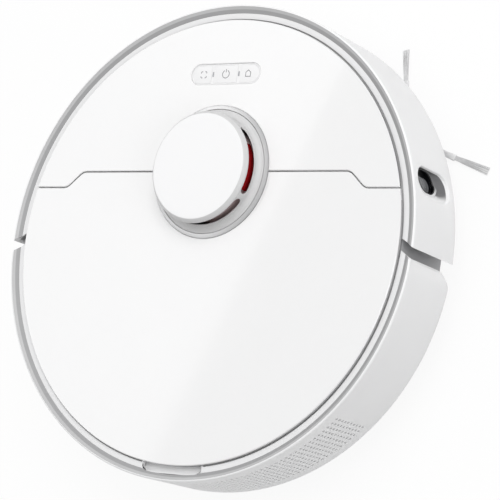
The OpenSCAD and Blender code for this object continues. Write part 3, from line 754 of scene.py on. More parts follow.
# Inside 171.3 mm, on the trim's inner, lower half, the grey is painted darker: painted shade along its inner edge,
# over the trim's own grey.
SILVER_TRIM_SHADED_INNER = Finish(
    "silver_trim", grey(0.51), (0.42, 0.5), Surface.TURNED, 0.06, 0.004, 0.12, metallic=0.0,
    inner=grey(0.33), fade=(171.3, 171.8),
)
GREY_PLASTIC = Finish("grey_plastic", (0.32, 0.325, 0.335), (0.38, 0.5), contrast=0.06, relief=0.02)
DARK_PLASTIC = Finish("dark_plastic", (0.035, 0.035, 0.038), (0.38, 0.52), contrast=0.14, relief=0.025)
BASE_GREY = Finish("base_grey", (0.4, 0.4, 0.41), (0.42, 0.54), contrast=0.03, relief=0.03, grain=0.9)
BLACK_GLOSS = Finish(
    "black_gloss", (0.004, 0.004, 0.005), (0.05, 0.09), Surface.LACQUER, 0.2, 0.001, 5.0, specular=0.18
)
SENSOR_GREY = Finish("sensor_grey", (0.13, 0.133, 0.14), (0.22, 0.3), Surface.LACQUER, 0.08, 0.003, 3.0)
ICON_GREY = Finish("sensor_grey", (0.24, 0.24, 0.25), (0.35, 0.45), contrast=0.03, relief=0.003, suffix="icon")
# Grey strips that stand in the gaps round the plates as painted shade: the darker for the front plate, the paler
# for the lid and the shelves under the ledge.
DARK_SHADE_GREY = Finish("belt_rubber", grey(0.26), (0.5, 0.62), contrast=0.08, relief=0.02, suffix="seal")
PALE_SHADE_GREY = Finish("belt_rubber", grey(0.55), (0.5, 0.62), contrast=0.08, relief=0.02, suffix="lid_seal")
LASER_RED = Finish(
    "laser_red", (0.48, 0.01, 0.014), (0.08, 0.14), Surface.LACQUER, 0.15, 0.002, 4.0, coat=0.3
)
ROTOR_BROWN = Finish("rotor_brown", (0.72, 0.56, 0.56), (0.3, 0.42), contrast=0.12, relief=0.015)
ICON_LIGHT = Finish("icon_light", (0.4, 0.41, 0.43), (0.2, 0.28), Surface.LACQUER, 0.08, 0.002, 2.0)
CONTACT_METAL = Finish(
    "contact_metal", (0.72, 0.6, 0.38), (0.18, 0.3), Surface.TURNED, 0.08, 0.004, 0.15, metallic=1.0
)
STEEL = Finish("steel", (0.56, 0.57, 0.58), (0.22, 0.34), Surface.TURNED, 0.1, 0.003, 0.12, metallic=1.0)
SCREW_STEEL = Finish("screw_steel", (0.3, 0.3, 0.31), (0.28, 0.4), Surface.TURNED, 0.1, 0.004, 0.15, metallic=0.9)
TYRE_RUBBER = Finish("tyre_rubber", (0.018, 0.018, 0.019), (0.62, 0.78), contrast=0.2, relief=0.05, grain=0.9)
BELT_RUBBER = Finish("belt_rubber", (0.02, 0.02, 0.021), (0.55, 0.7), contrast=0.15, relief=0.03)
BRISTLE = Finish("bristle", grey(0.7), (0.4, 0.52), Surface.FIBRE, 0.08, 0.01, 0.3)
HOLDER_WHITE = Finish("bristle", grey(0.82), (0.4, 0.5), contrast=0.03, relief=0.01, suffix="holder")
BRUSH_BLUE = Finish("brush_blue", (0.09, 0.15, 0.26), (0.45, 0.6), Surface.FIBRE, 0.2, 0.01, 0.3)
BRUSH_GREY = Finish("brush_grey", (0.09, 0.092, 0.1), (0.45, 0.6), contrast=0.12, relief=0.02)
CIRCUIT = Finish("circuit", (0.012, 0.13, 0.06), (0.24, 0.4), contrast=0.3, relief=0.02, grain=1.6)
CELL_WRAP = Finish("cell_wrap", (0.03, 0.09, 0.32), (0.2, 0.32), Surface.LACQUER, 0.1, 0.004, 5.0)
FILTER_PAPER = Finish("filter_paper", (0.7, 0.67, 0.58), (0.7, 0.85), Surface.FIBRE, 0.1, 0.04, 0.5)
BIN_SMOKE = Finish("bin_smoke", (0.2, 0.205, 0.215), (0.12, 0.2), Surface.LACQUER, 0.05, 0.003, 4.0, coat=0.3)


# ---- Geometry trees ----


def close_tree(w: Nodes, shape: NodeSocket) -> NodeTree:
    """Ends a geometry tree in real geometry with its finish.

    Args:
        w: The tree's writer.
        shape: Its result.

    Returns:
        The tree.
    """
    real = w.add("GeometryNodeRealizeInstances", {0: shape})
    dressed = w.add("GeometryNodeSetMaterial", {"Geometry": real.outputs[0], "Material": w.given["Finish"]})
    return w.close(dressed.outputs[0])


def build_perforated_wall() -> NodeTree:
    """The tree that repeats a pierced tile in rows and columns and bends it round an upright axis.

    Returns:
        The tree.
    """
    w = Nodes.group("perforated_wall", "Geometry", {"Wall": Socket.SHAPE}, Tile=Socket.SHAPE,
                    Columns=Socket.COUNT, Rows=Socket.COUNT, Pitch=Socket.NUMBER, Rise=Socket.NUMBER,
                    Radius=Socket.NUMBER, Middle_Angle=Socket.NUMBER, Middle_Height=Socket.NUMBER,
                    Finish=Socket.MATERIAL)
    spread = [w.math("MULTIPLY", w.given[step], w.math("SUBTRACT", w.given[count], 1.0))
              for step, count in (("Pitch", "Columns"), ("Rise", "Rows"))]
    seats = w.add("GeometryNodeMeshGrid", {"Size X": spread[0], "Size Y": spread[1],
                                           "Vertices X": w.given["Columns"], "Vertices Y": w.given["Rows"]})
    copies = w.add("GeometryNodeInstanceOnPoints", {"Points": seats.outputs[0], "Instance": w.given["Tile"]})
    real = w.add("GeometryNodeRealizeInstances", {0: copies.outputs[0]})
    x, y, z = w.add("ShaderNodeSeparateXYZ", {0: w.add("GeometryNodeInputPosition").outputs[0]}).outputs
    turn = w.math("ADD", w.math("DIVIDE", x, w.given["Radius"]), w.given["Middle Angle"])
    reach = w.math("ADD", w.given["Radius"], z)
    bent = w.add("ShaderNodeCombineXYZ", {
        0: w.math("MULTIPLY", reach, w.math("COSINE", turn)),
        1: w.math("MULTIPLY", reach, w.math("SINE", turn)),
        2: w.math("ADD", y, w.given["Middle Height"]),
    })
    moved = w.add("GeometryNodeSetPosition", {"Geometry": real.outputs[0], "Position": bent.outputs[0]})
    merged = w.add("GeometryNodeMergeByDistance", {"Geometry": moved.outputs[0], "Distance": 0.01 * MM})
    return close_tree(w, merged.outputs[0])


def build_turned_row() -> NodeTree:
    """The tree that repeats a shape along and round an axis, as lugs, spokes, tufts or blades.

    Returns:
        The tree.
    """
    w = Nodes.group("turned_row", "Geometry", {"Row": Socket.SHAPE}, Shape=Socket.SHAPE, Count=Socket.COUNT,
                    Turn=Socket.NUMBER, Start=Socket.NUMBER, Advance=Socket.VECTOR, Axis=Socket.VECTOR,
                    Centre=Socket.VECTOR, Sway=Socket.NUMBER, Seed=Socket.COUNT, Finish=Socket.MATERIAL)
    seats = w.add("GeometryNodeMeshLine", {"Count": w.given["Count"], "Offset": w.given["Advance"]}, mode="OFFSET")
    index = w.add("GeometryNodeInputIndex").outputs[0]
    angle = w.math("ADD", w.math("MULTIPLY", index, w.given["Turn"]), w.given["Start"])
    turned = w.add("FunctionNodeAxisAngleToRotation", {"Axis": w.given["Axis"], "Angle": angle})
    least = w.math("MULTIPLY", w.given["Sway"], -1.0)
    sway = w.add("FunctionNodeRandomValue", {0: (-1, -1, -1), 1: (1, 1, 1), "Seed": w.given["Seed"]},
                 data_type="FLOAT_VECTOR")
    most = w.add("ShaderNodeCombineXYZ", {0: least, 1: least, 2: least})
    tilted = w.add("FunctionNodeEulerToRotation", {0: w.vector("MULTIPLY", sway.outputs[0], most.outputs[0])})
    both = w.add("FunctionNodeRotateRotation", {"Rotation": turned.outputs[0], "Rotate By": tilted.outputs[0]},
                 rotation_space="LOCAL")
    copies = w.add("GeometryNodeInstanceOnPoints", {"Points": seats.outputs[0], "Instance": w.given["Shape"],
                                                    "Rotation": both.outputs[0]})
    placed = w.add("GeometryNodeTransform", {"Geometry": copies.outputs[0], "Translation": w.given["Centre"]})
    return close_tree(w, placed.outputs[0])


def build_coil() -> NodeTree:
    """The tree for a coil spring of round wire.

    Returns:
        The tree.
    """
    w = Nodes.group("coil_spring", "Geometry", {"Coil": Socket.SHAPE}, Shape=Socket.SHAPE, Turns=Socket.NUMBER,
                    Radius=Socket.NUMBER, Length=Socket.NUMBER, Wire=Socket.NUMBER, Tilt=Socket.VECTOR,
                    Start=Socket.VECTOR, Finish=Socket.MATERIAL)
    line = w.add("GeometryNodeCurveSpiral", {
        "Resolution": 24, "Rotations": w.given["Turns"], "Start Radius": w.given["Radius"],
        "End Radius": w.given["Radius"], "Height": w.given["Length"],
    })
    wire = w.add("GeometryNodeCurvePrimitiveCircle", {"Resolution": 8, "Radius": w.given["Wire"]})
    mesh = w.add("GeometryNodeCurveToMesh", {"Curve": line.outputs[0], "Profile Curve": wire.outputs[0],
                                             "Fill Caps": True})
    placed = w.add("GeometryNodeTransform", {"Geometry": mesh.outputs[0], "Translation": w.given["Start"],
                                             "Rotation": w.given["Tilt"]})
    return close_tree(w, placed.outputs[0])


def build_copies() -> NodeTree:
    """The tree that sets a copy of a piece on every point of a mesh, each turned by chance.

    Returns:
        The tree.
    """
    w = Nodes.group("copies_on_points", "Geometry", {"Copies": Socket.SHAPE}, Points=Socket.SHAPE,
                    Piece=Socket.OBJECT, Seed=Socket.COUNT, Finish=Socket.MATERIAL)
    piece = w.add("GeometryNodeObjectInfo", {"Object": w.given["Piece"]}, transform_space="ORIGINAL")
    turn = w.add("FunctionNodeRandomValue", {0: (0, 0, 0), 1: (0, 0, tau), "Seed": w.given["Seed"]},
                 data_type="FLOAT_VECTOR")
    turned = w.add("FunctionNodeEulerToRotation", {0: turn.outputs[0]})
    copies = w.add("GeometryNodeInstanceOnPoints", {
        "Points": w.given["Points"], "Instance": piece.outputs["Geometry"], "Rotation": turned.outputs[0],
    })
    return close_tree(w, copies.outputs[0])


def grown(tile: Sheet, tree: str, finish: Finish, **values: object) -> Sheet:
    """Runs a geometry tree on a tile and settles the result.

    Args:
        tile: The shape that the tree repeats, in millimetres.
        tree: The tree's name.
        finish: The finish of the result.
        values: The tree's inputs, with underscores for spaces; lengths in metres, angles in radians.

    Returns:
        The result as a sheet in millimetres.
    """
    obj = linked("growing", plain_mesh(tile))
    modifier = obj.modifiers.new("grow", "NODES")
    modifier.node_group = group = bpy.data.node_groups[tree]
    wanted = {key.replace("_", " "): value for key, value in values.items()} | {"Finish": finish.material()}
    for item in group.interface.items_tree:
        if item.item_type == "SOCKET" and item.in_out == "INPUT" and item.name in wanted:
            modifier[item.identifier] = wanted[item.name]
    graph = bpy.context.evaluated_depsgraph_get()
    mesh = bpy.data.meshes.new_from_object(obj.evaluated_get(graph), depsgraph=graph)
    obj.modifiers.clear()
    bpy.data.objects.remove(obj)
    result = Sheet().add([v.co / MM for v in mesh.vertices], [tuple(p.vertices) for p in mesh.polygons])
    bpy.data.meshes.remove(mesh)
    return result


def joined(*sheets: Sheet) -> Sheet:
    """One sheet out of several.

    Args:
        sheets: The sheets.

    Returns:
        The one sheet.
    """
    whole = Sheet()
    for sheet in sheets:
        whole.add(sheet.points, sheet.faces)
    return whole


# ---- Outer walls ----


@dataclass(frozen=True)
class Recess:
    """A pocket with round ends in a round wall, measured along the arc and upwards."""

    angle: float
    z: float
    length: float
    width: float
    upright: bool

    def around(self, radius: float, spot: Point, grow: float = 0.0, shrink: float = 1.0) -> Pair:
        """The point of the pocket's outline nearest to a spot on the wall.

        Args:
            radius: The wall's radius, on which the outline is measured.
            spot: The spot's angle and height.
            grow: How far outside the outline the result lies.
            shrink: The share of the way out from the pocket's middle line.

        Returns:
            The angle and height of the point.
        """
        reach = (self.length - self.width) / 2
        s = radians(spot[0] - self.angle) * radius
        t = spot[1] - self.z
        if self.upright:
            core = (0.0, min(max(t, -reach), reach))
        else:
            core = (min(max(s, -reach), reach), 0.0)
        away = np.array([s, t]) - core
        away *= shrink * (self.width / 2 + grow) / max(np.linalg.norm(away), 1e-9)
        return self.angle + degrees((core[0] + away[0]) / radius), self.z + core[1] + away[1]


@dataclass
class Passing:
    """An outline that passes from one pocket outline to another, by the angle."""

    first: Recess
    second: Recess
    share: Callable[[float], float]

    def around(self, radius: float, spot: Point, grow: float = 0.0, shrink: float = 1.0) -> Pair:
        """The point of the outline nearest to a spot, as for a plain pocket."""
        a, b = (np.array(recess.around(radius, spot, grow, shrink)) for recess in (self.first, self.second))
        return tuple(a + (b - a) * self.share(b[0]))


@dataclass
class Clipped:
    """An outline kept inside another one."""

    shape: Recess
    limit: Recess
    margin: float

    def around(self, radius: float, spot: Point, grow: float = 0.0, shrink: float = 1.0) -> Pair:
        """The point of the outline nearest to a spot, as for a plain pocket.

        Args:
            radius: The wall's radius.
            spot: The spot's angle and height.
            grow: How far outside the outline it lies.
            shrink: The share of the way out.

        Returns:
            The angle and height of the point.
        """
        at = self.shape.around(radius, spot, grow, shrink)
        edge = self.limit.around(radius, at, grow - self.margin)
        core = self.limit.around(radius, at, shrink=0.0)
        far, most = (hypot(radians(p[0] - core[0]) * radius, p[1] - core[1]) for p in (at, edge))
        return at if far < most else edge


def between(a: Recess, b: Recess, share: float) -> Recess:
    """An outline part of the way from one pocket outline to another."""
    pairs = [(getattr(a, name), getattr(b, name)) for name in ("angle", "z", "length", "width")]
    return Recess(*(first + (last - first) * share for first, last in pairs), a.upright)


def round_point(angle: float, radius: float, z: float) -> Triple:
    """A point from its angle in degrees, radius and height."""
    return radius * cos(radians(angle)), radius * sin(radians(angle)), z


Outline = Recess | Passing | Clipped
Level = float | Callable[[float], float]
Step = tuple[Outline | None, float, float, Level]


def lifted(level: Level, by: float) -> Level:
    """A radius, or one that follows the angle, moved outwards."""
    return (lambda angle: level(angle) + by) if callable(level) else level + by


def ringed(wall_r: float, spots: Sequence[Point], steps: Sequence[Step], closed: bool = False) -> Sheet:
    """Rings of faces that step through pocket outlines in a round wall.

    Args:
        wall_r: The wall's radius, on which the outlines are measured.
        spots: Angle and height of the spots that the rings' points lie nearest to.
        steps: For each ring its outline, growth, share of the way out and radius, which may follow the
            angle; no outline means the spots.
        closed: Whether the last ring joins the first.

    Returns:
        The faces.
    """
    rings = []
    for outline, grow, shrink, radius in steps:
        ring = [outline.around(wall_r, spot, grow, shrink) if outline else spot for spot in spots]
        rings.append([round_point(a, radius(a) if callable(radius) else radius, z) for a, z in ring])
    return Sheet().grid(np.array(rings), closed_rows=closed, closed_columns=True)


def block_rim(angles: Sequence[float], heights: Sequence[float]) -> Loop:
    """The points round the edge of a block of grid cells, once round.

    Args:
        angles: The columns' angles.
        heights: The rows' heights.

    Returns:
        Angles and heights, in order.
    """
    low = [(a, heights[0]) for a in angles[:-1]]
    right = [(angles[-1], z) for z in heights[:-1]]
    high = [(a, heights[-1]) for a in reversed(angles[1:])]
    left = [(angles[0], z) for z in reversed(heights[1:])]
    return low + right + high + left


@dataclass
class Block:
    """A block of cells left out of a wall's grid."""

    columns: Pair
    heights: Pair

    def holds(self, angle: float, z: float) -> bool:
        """Whether the middle of a cell lies in the block."""
        return self.columns[0] < angle < self.columns[1] and self.heights[0] < z < self.heights[1]


@dataclass
class OuterWalls:
    """The bumper, the rear housing and the sloping trim on both."""

    datum: Datum
    wall_t: float = 2.5
    foot_round: float = 0.8
    rim_round: float = 1.3
    ledge_drop: float = 2.6
    ledge_t: float = 1.4
    ledge_gap: float = 1.05
    liner_radii: Pair = (160.0, 166.5)
    liner_depths: Pair = (0.9, 0.4)
    liner_spans: tuple[Pair, ...] = ((1.0, 184.5), (187.0, 260.5), (279.5, 356.6))
    ledge_round: float = 0.35
    band_in: float = 6.2
    band_out: float = 1.4
    trim_t: float = 0.8
    bumper_end: Pair = (3.0, -3.7)
    rear_end: Pair = (-5.2, -12.5)
    tuck: float = 2.0
    tuck_reach: float = 12.0
    corner: Pair = (10.0, 15.0)
    notch_half: float = 8.9
    notch_r: float = 169.8
    notch_corner: float = 4.0
    notch_floor: float = 72.4
    hole_columns: int = 67
    hole_rows: int = 10
    hole_pitch: float = 4.245
    hole_rise: float = 3.87
    hole_r: float = 1.0
    grille_z: float = 50.3
    lip: Recess = Recess(15.4, 50.4, 43.2, 21.6, True)
    moat: Recess = Recess(15.56, 54.95, 33.4, 19.8, True)
    land: Recess = Recess(15.4, 58.1, 26.2, 17.8, True)
    bore: Recess = Recess(15.662, 59.05, 21.9, 17.4, True)
    lens: Recess = Recess(15.105, 59.3, 19.8, 11.8, True)
    lip_round: float = 1.2
    moat_depth: float = 5.0
    land_depth: float = 1.1
    sill_from: float = 3.0
    sill_run: float = 7.0
    sill_low: float = 2.4
    collar: float = 0.9
    shoal: float = 1.5
    bore_depth: float = 5.2
    back_depth: float = 9.4
    dock: Recess = Recess(90.0, 51.0, 72.0, 13.6, False)
    dock_depth: float = 0.9
    lip_block: float = 6.0
    dock_block: float = 15.0
    block_heights: tuple[float, float, float, float] = (26.0, 41.0, 61.0, 74.5)
    end_fade: float = 10.0
    column_step: float = 1.5

    def __post_init__(self) -> None:
        """Works out the radii and heights that follow from the sizes."""
        self.r = self.datum.body_r
        self.top = self.datum.top_z
        self.ledge_z = self.top - self.ledge_drop
        self.ledge_r = self.datum.plate_r + self.ledge_gap
        self.in_r = self.r - self.wall_t
        self.band = ((self.r - self.band_out, self.top), (self.r - self.band_in, self.ledge_z))
        run = np.array(self.band[1]) - np.array(self.band[0])
        self.slope = run[1] / run[0]
        self.seat = self.trim_t * np.array([-run[1], run[0]]) / np.linalg.norm(run)
        self.hole_turn = degrees(self.hole_pitch / self.r)

    def end_angle(self, ends: Pair, radius: float) -> float:
        """The angle at which a slanted end cuts the circle of a radius, on the right-hand side.

        Args:
            ends: How far the end reaches at the ledge and at the outer face.
            radius: The circle's radius.

        Returns:
            The angle in degrees.
        """
        y = ends[0]
        for _ in range(12):
            x = sqrt(radius**2 - y**2)
            y = ends[0] + (ends[1] - ends[0]) * (x - self.ledge_r) / (self.r - self.ledge_r)
        return degrees(asin(y / radius))

    def profile(self, heights: Sequence[float]) -> Section:
        """The closed section of a wall with its rim and ledge.

        Args:
            heights: Heights of the rows between the foot and the rim.

        Returns:
            Radius, height and whether the point slides along the trim's slope, anticlockwise.
        """
        f, k, e = self.foot_round, self.rim_round, self.ledge_round
        foot = arc((self.r - f, self.datum.skirt_z + f), f, -90, 0, 3)
        rim = arc((self.r - k, self.top - k), k, 0, 90, 8)
        seat = [tuple(np.array(p) + self.seat) for p in self.band]
        ledge = arc((self.ledge_r + e, self.ledge_z - e), e, 90, 180, 3)
        under = self.ledge_z - self.ledge_t
        outside = [*foot, *((self.r, z) for z in heights), *rim, self.band[0], seat[0]]
        inside = [*ledge, (self.ledge_r, under), (self.in_r - 1.5, under), (self.in_r, under - 1.5),
                  *((self.in_r, z) for z in reversed(heights)), (self.in_r, self.datum.skirt_z)]
        parts = ((outside, False), ((seat[1], self.band[1]), True), (inside, False))
        return [(r, z, slides) for points, slides in parts for r, z in points]

    def trim_profile(self) -> Section:
        """The closed section of the trim: two sloping bands with a fine step between them.

        Returns:
            Radius, height and whether the point slides, anticlockwise.
        """
        (r0, z0), (r1, z1) = self.band
        mid = ((r0 + r1) / 2, (z0 + z1) / 2 - 0.16)
        outer, inner = (np.array(self.band[k]) + 0.96 * self.seat for k in (0, 1))
        return [(r0 - 0.02, z0 - 0.05, False), (*mid, False), (r1 + 0.03, z1 + 0.05, True),
                (*inner, True), (*outer, False)]

    def notch_edge(self, angle: float, radius: float) -> Pair:
        """The new angle and radius of a point of the ledge at the finger notch.

        Args:
            angle: The point's angle.
            radius: The point's radius.

        Returns:
            The point on the notch's edge, or the same point outside the notch.
        """
        side = 1 if angle > 270 else -1
        inside = radians(self.notch_half - abs(angle - 270)) * self.ledge_r
        if inside < -1e-6:
            return angle, radius
        straight = self.notch_r - self.notch_corner - self.ledge_r
        share = min(inside / (4 * self.hole_pitch / 3), 1.0)
        if share <= 0.25:
            limit, across = self.ledge_r + straight * share / 0.25, 0.0
        else:
            turn = radians(90 * (share - 0.25) / 0.75)
            limit = self.ledge_r + straight + self.notch_corner * sin(turn)
            across = self.notch_corner * (1 - cos(turn))
        if radius >= limit:
            return angle, radius
        if share < 1:
            angle = 270 + side * (self.notch_half - degrees(across / self.ledge_r))
        return angle, limit

    def sweep(
        self, section: Section, angles: Sequence[float], ends: Pair, rear: bool, skip: Sequence[Block] = ()
    ) -> Sheet:
        """Turns a section round the machine between two slanted ends.

        Args:
            section: The section.
            angles: The columns' angles at the outer radius.
            ends: The slanted ends.
            rear: Whether this is the rear housing, with its tucked ends and finger notch.
            skip: Blocks of the upright faces that stay open.

        Returns:
            The closed sheet.
        """
        rows = np.zeros((len(section), len(angles), 3))
        last = self.end_angle(ends, self.r)
        for i, (radius, z, slides) in enumerate(section):
            shift = self.end_angle(ends, radius) - last
            for j, angle in enumerate(angles):
                edge = min(angle - angles[0], angles[-1] - angle)
                right = (angle - angles[0] < angles[-1] - angle) != rear
                fade = max(0.0, 1 - edge / self.end_fade)
                at, r, height = angle + shift * fade * (1 if right else -1), radius, z
                if rear:
                    at, r, height = self.rear_shape(at, r, height, radians(edge) * self.r, slides)
                rows[i, j] = round_point(at, r, height)
        n = len(section)

        def kept(i: int, j: int) -> bool:
            """Whether a cell of the grid is made.

            Args:
                i: The row.
                j: The column.

            Returns:
                Whether it is made.
            """
            (r0, z0, _), (r1, z1, _) = section[i], section[(i + 1) % n]
            upright = abs(r0 - r1) < 1e-6 and r0 in (self.r, self.in_r)
            spot = ((angles[j] + angles[j + 1]) / 2, (z0 + z1) / 2)
            return not (upright and any(b.holds(*spot) for b in skip))

        return Sheet().grid(rows, closed_rows=True, capped=True, keep=kept)

    def rear_shape(self, angle: float, radius: float, z: float, edge: float, slides: bool) -> Triple:
        """Tucks in the rear housing's ends, rounds their lower corners and opens the finger notch.

        Args:
            angle: The point's angle.
            radius: Its radius.
            z: Its height.
            edge: Its distance from the nearer end, along the arc.
            slides: Whether it slides along the trim's slope.

        Returns:
            The new angle, radius and height.
        """
        if radius > self.in_r + 0.2 and edge < self.tuck_reach:
            hold = min(max((self.top - z) / 6, 0.25), 1.0)
            radius -= self.tuck * hold * (1 - edge / self.tuck_reach) ** 2
        across, up = self.corner
        foot, top = self.datum.skirt_z, self.ledge_z - 4
        if edge < across and z < top:
            lift = up * (1 - sqrt(max(0.0, 1 - (1 - edge / across) ** 2)))
            z = foot + lift + (z - foot) * (top - foot - lift) / (top - foot)
        if abs(angle - 270) < self.notch_half + 1 and radius < self.notch_r and z > self.ledge_z - 3:
            old = radius
            angle, radius = self.notch_edge(angle, radius)
            if slides:
                z += (radius - old) * self.slope
        return angle, radius, z

    def sensor_wall(self) -> list[Step]:
        """The steps of the wall sensor's rounded lip and of the scooped funnel down to the moat.

        Returns:
            The steps.
        """
        soft = self.lip_round
        steps = [(self.lip, soft * (1 - sin(t)), 1.0, self.r - soft * (1 - cos(t)))
                 for t in np.radians([0, 22, 45, 68, 90])]
        return steps + [(between(self.lip, self.moat, k), 0.0, 1.0, self.moat_level(k**0.8))
                        for k in (0.15, 0.3, 0.5, 0.75, 1.0)]

    def share_behind(self, angle: float, start: float, run: float) -> float:
        """How far a smooth step, from a start in front of the bore's middle backwards, has risen."""
        share = min(max((start - radians(angle - self.bore.angle) * self.r) / run, 0.0), 1.0)
        return share * share * (3 - 2 * share)

    def moat_level(self, share: float) -> Callable[[float], float]:
        """The radius of the funnel a share of the way down to the moat, which is shallow behind the bore."""
        brim, deep, flat = (size - self.lip_round for size in (self.r, self.moat_depth, self.shoal))
        return lambda angle: brim - share * (deep + (flat - deep) * self.share_behind(angle, -1.0, 8.5))

    def sill_share(self, angle: float) -> float:
        """How high the sill round the bore stands: whole behind the bore, sunk in front of it."""
        return self.share_behind(angle, self.sill_from, self.sill_run)

    def sill_steps(self, out: float, sink: float) -> list[Step]:
        """The steps up the side of the sill round the bore and across its top, from the moat to the bore.

        Args:
            out: How far off the sill's surface they lie.
            sink: How far the side's foot lies below the moat's floor.

        Returns:
            The steps.
        """
        bore = self.bore
        narrow = Recess(bore.angle, bore.z, bore.length + self.collar, bore.width + self.collar, True)
        side, foot = Passing(narrow, self.land, self.sill_share), self.moat_level(1.0)
        return [(side, out, 1, lifted(foot, out - sink)), (side, out, 1, self.sill_top(out - 0.4)),
                (side, out - 0.3, 1, self.sill_top(out)), (bore, 0.15, 1, self.sill_top(out)),
                (bore, 0.0, 1, self.sill_top(out - 0.2))]

    def sill_top(self, shift: float) -> Callable[[float], float]:
        """The radius of the sill's top moved outwards by a shift, by angle."""
        low, high = self.r - self.sill_low, self.r - self.land_depth
        return lambda angle: low + (high - low) * self.sill_share(angle) + shift

    def bumper(self) -> Sheet:
        """The bumper's wall with the wall sensor's funnel and the shallow dock pocket.

        Returns:
            Its faces.
        """
        start = self.end_angle(self.bumper_end, self.r)
        foot, low, high, crest = self.block_heights
        sensor = Block((self.lip.angle - self.lip_block, self.lip.angle + self.lip_block), (foot, crest))
        dock = Block((self.dock.angle - self.dock_block, self.dock.angle + self.dock_block), (low, high))
        angles = self.columns(start, 180 - start, [(*sensor.columns, 0.6), (*dock.columns, 1.0)])
        heights = [*np.linspace(foot, low, 10)[:-1], *np.linspace(low, high, 13)[:-1], *np.linspace(high, crest, 9)]
        wall = self.sweep(self.profile(heights), angles, self.bumper_end, False, [sensor, dock])
        eye, pane = (
            block_rim(*([v for v in values if least - 1e-6 <= v <= most + 1e-6]
                        for values, (least, most) in ((angles, block.columns), (heights, block.heights))))
            for block in (sensor, dock)
        )
        r, bore, dip = self.r, self.bore, self.dock
        deep, back, bed = r - self.moat_depth - 1.4, r - self.back_depth, r - self.dock_depth
        return joined(wall, *(ringed(r, rim, steps) for rim, steps in (
            (eye, [(None, 0, 0, r), *self.sensor_wall(), *self.sill_steps(0.0, 0.0), (bore, 0, 1, r - 7),
                   (bore, 0, 0, r - 7)]),
            (eye, [(None, 0, 0, self.in_r), (self.lip, 1.6, 1, self.in_r), (self.moat, 1.4, 1, deep),
                   (bore, 1.2, 1, deep), (bore, 1.2, 1, back), (bore, 0, 0, back)]),
            (pane, [(None, 0, 0, r), (dip, 0.3, 1, r), (dip, 0, 1, r - 0.3), (dip, 0, 1, bed), (dip, 0, 0.6, bed),
                    (dip, 0, 0, bed)]),
            (pane, [(None, 0, 0, self.in_r), *((dip, 0, k, self.in_r) for k in (1, 0.5, 0))]),
        )))

    def spots(self, recess: Recess, count: int = 96) -> Loop:
        """Spots spread evenly round a pocket, outside its outline.

        Args:
            recess: The pocket.
            count: How many spots.

        Returns:
            Their angles and heights.
        """
        half = (recess.width if recess.upright else recess.length) / 2 + 2
        wide, high = degrees(half / self.r), recess.length if recess.upright else 10.0
        turns = np.linspace(0, tau, count, endpoint=False)
        return [(recess.angle + wide * cos(t), recess.z + high * sin(t)) for t in turns]

    def sensor_pieces(self) -> tuple[Sheet, Sheet, Sheet]:
        """The scoop's lining, darkened towards its bottom as painted shade, the black cup and the lens of the wall
        sensor.

        Returns:
            The three sheets.
        """
        r, bore, out = self.r, self.bore, 0.06
        spots = self.spots(self.lip)
        slope = [(o, -out, 1, lifted(level, out)) for o, _, _, level in self.sensor_wall()[5:]]
        behind = [(o, grow + 0.2, k, lifted(level, -0.3)) for o, grow, k, level in slope]
        behind += self.sill_steps(-0.2, 0.1)[:-1]
        scoop = ringed(r, spots, slope + self.sill_steps(out, 0.0)[:-1] + behind[::-1], closed=True)
        floor = r - self.bore_depth
        seat, face, below = self.sill_top(out + 0.02), self.sill_top(out + 0.14), self.sill_top(-0.35)
        cup = [(bore, -0.05, 0, floor - 1.5), (bore, -0.05, 1, floor - 1.5), (bore, -0.05, 1, seat),
               (bore, 0.4, 1, seat), (bore, 0.34, 1, face), (bore, -0.35, 1, face), (bore, -0.65, 1, below),
               *((bore, -0.65, k, floor) for k in (1, 0.6, 0.3, 0))]
        glass = Clipped(self.lens, bore, 0.8)
        lens = [(glass, 0, 0, floor - 0.1), (glass, 0, 1, floor - 0.1), (glass, 0, 1, floor + 0.35),
                (glass, -0.3, 1, floor + 0.5), (glass, -1.3, 1, floor + 0.5), (glass, -1.6, 1, floor + 0.3),
                *((glass, -1.6, k, floor + 0.45 - 0.15 * k) for k in (0.7, 0.35, 0))]
        return scoop, ringed(r, spots, cup), ringed(r, spots, lens)

    def gap_liner(self) -> Sheet:
        """The pale shelves under the ledge, which close the gap round the plates from below; their grey is painted
        shade for the line in the gap.

        Returns:
            The shelves.
        """
        inner, outer = self.liner_radii
        low, high = (self.ledge_z - self.ledge_t - depth for depth in self.liner_depths)
        section = [(inner, low), (outer, low), (outer, high), (inner, high)]
        return joined(*(Sheet().lathe(section, steps=120, span=span) for span in self.liner_spans))

    def dock_pane(self) -> Sheet:
        """The dark window that lies in the dock pocket, curved with the wall.

        Returns:
            The window.
        """
        front, back = self.r - 0.06, self.r - self.dock_depth + 0.02
        steps = [(self.dock, -0.1, 0, back), (self.dock, -0.1, 1, back), (self.dock, -0.1, 1, front - 0.15),
                 (self.dock, -0.25, 1, front), *((self.dock, -0.1, k, front) for k in (0.75, 0.5, 0.25, 0))]
        return ringed(self.r, self.spots(self.dock), steps)

    def columns(self, start: float, end: float, fine: Sequence[Triple]) -> list[float]:
        """Column angles, about a degree and a half apart, closer at the ends and in given stretches.

        Args:
            start: The first angle.
            end: The last angle.
            fine: Stretches as start, end and step.

        Returns:
            The angles in rising order.
        """
        near = [degrees(d / self.r) for d in (0, 0.5, 1.2, 2.2, 3.5, 5, 7, 9.5, 12)]
        marks = [start + d for d in near] + [end - d for d in near]
        for low, high, step in fine:
            marks += list(np.linspace(low, high, round((high - low) / step) + 1))
        marks = sorted(set(round(m, 6) for m in marks))
        spread = []
        for a, b in zip(marks, marks[1:]):
            count = max(1, ceil((b - a) / self.column_step))
            spread += list(np.linspace(a, b, count + 1)[:-1])
        return spread + [marks[-1]]

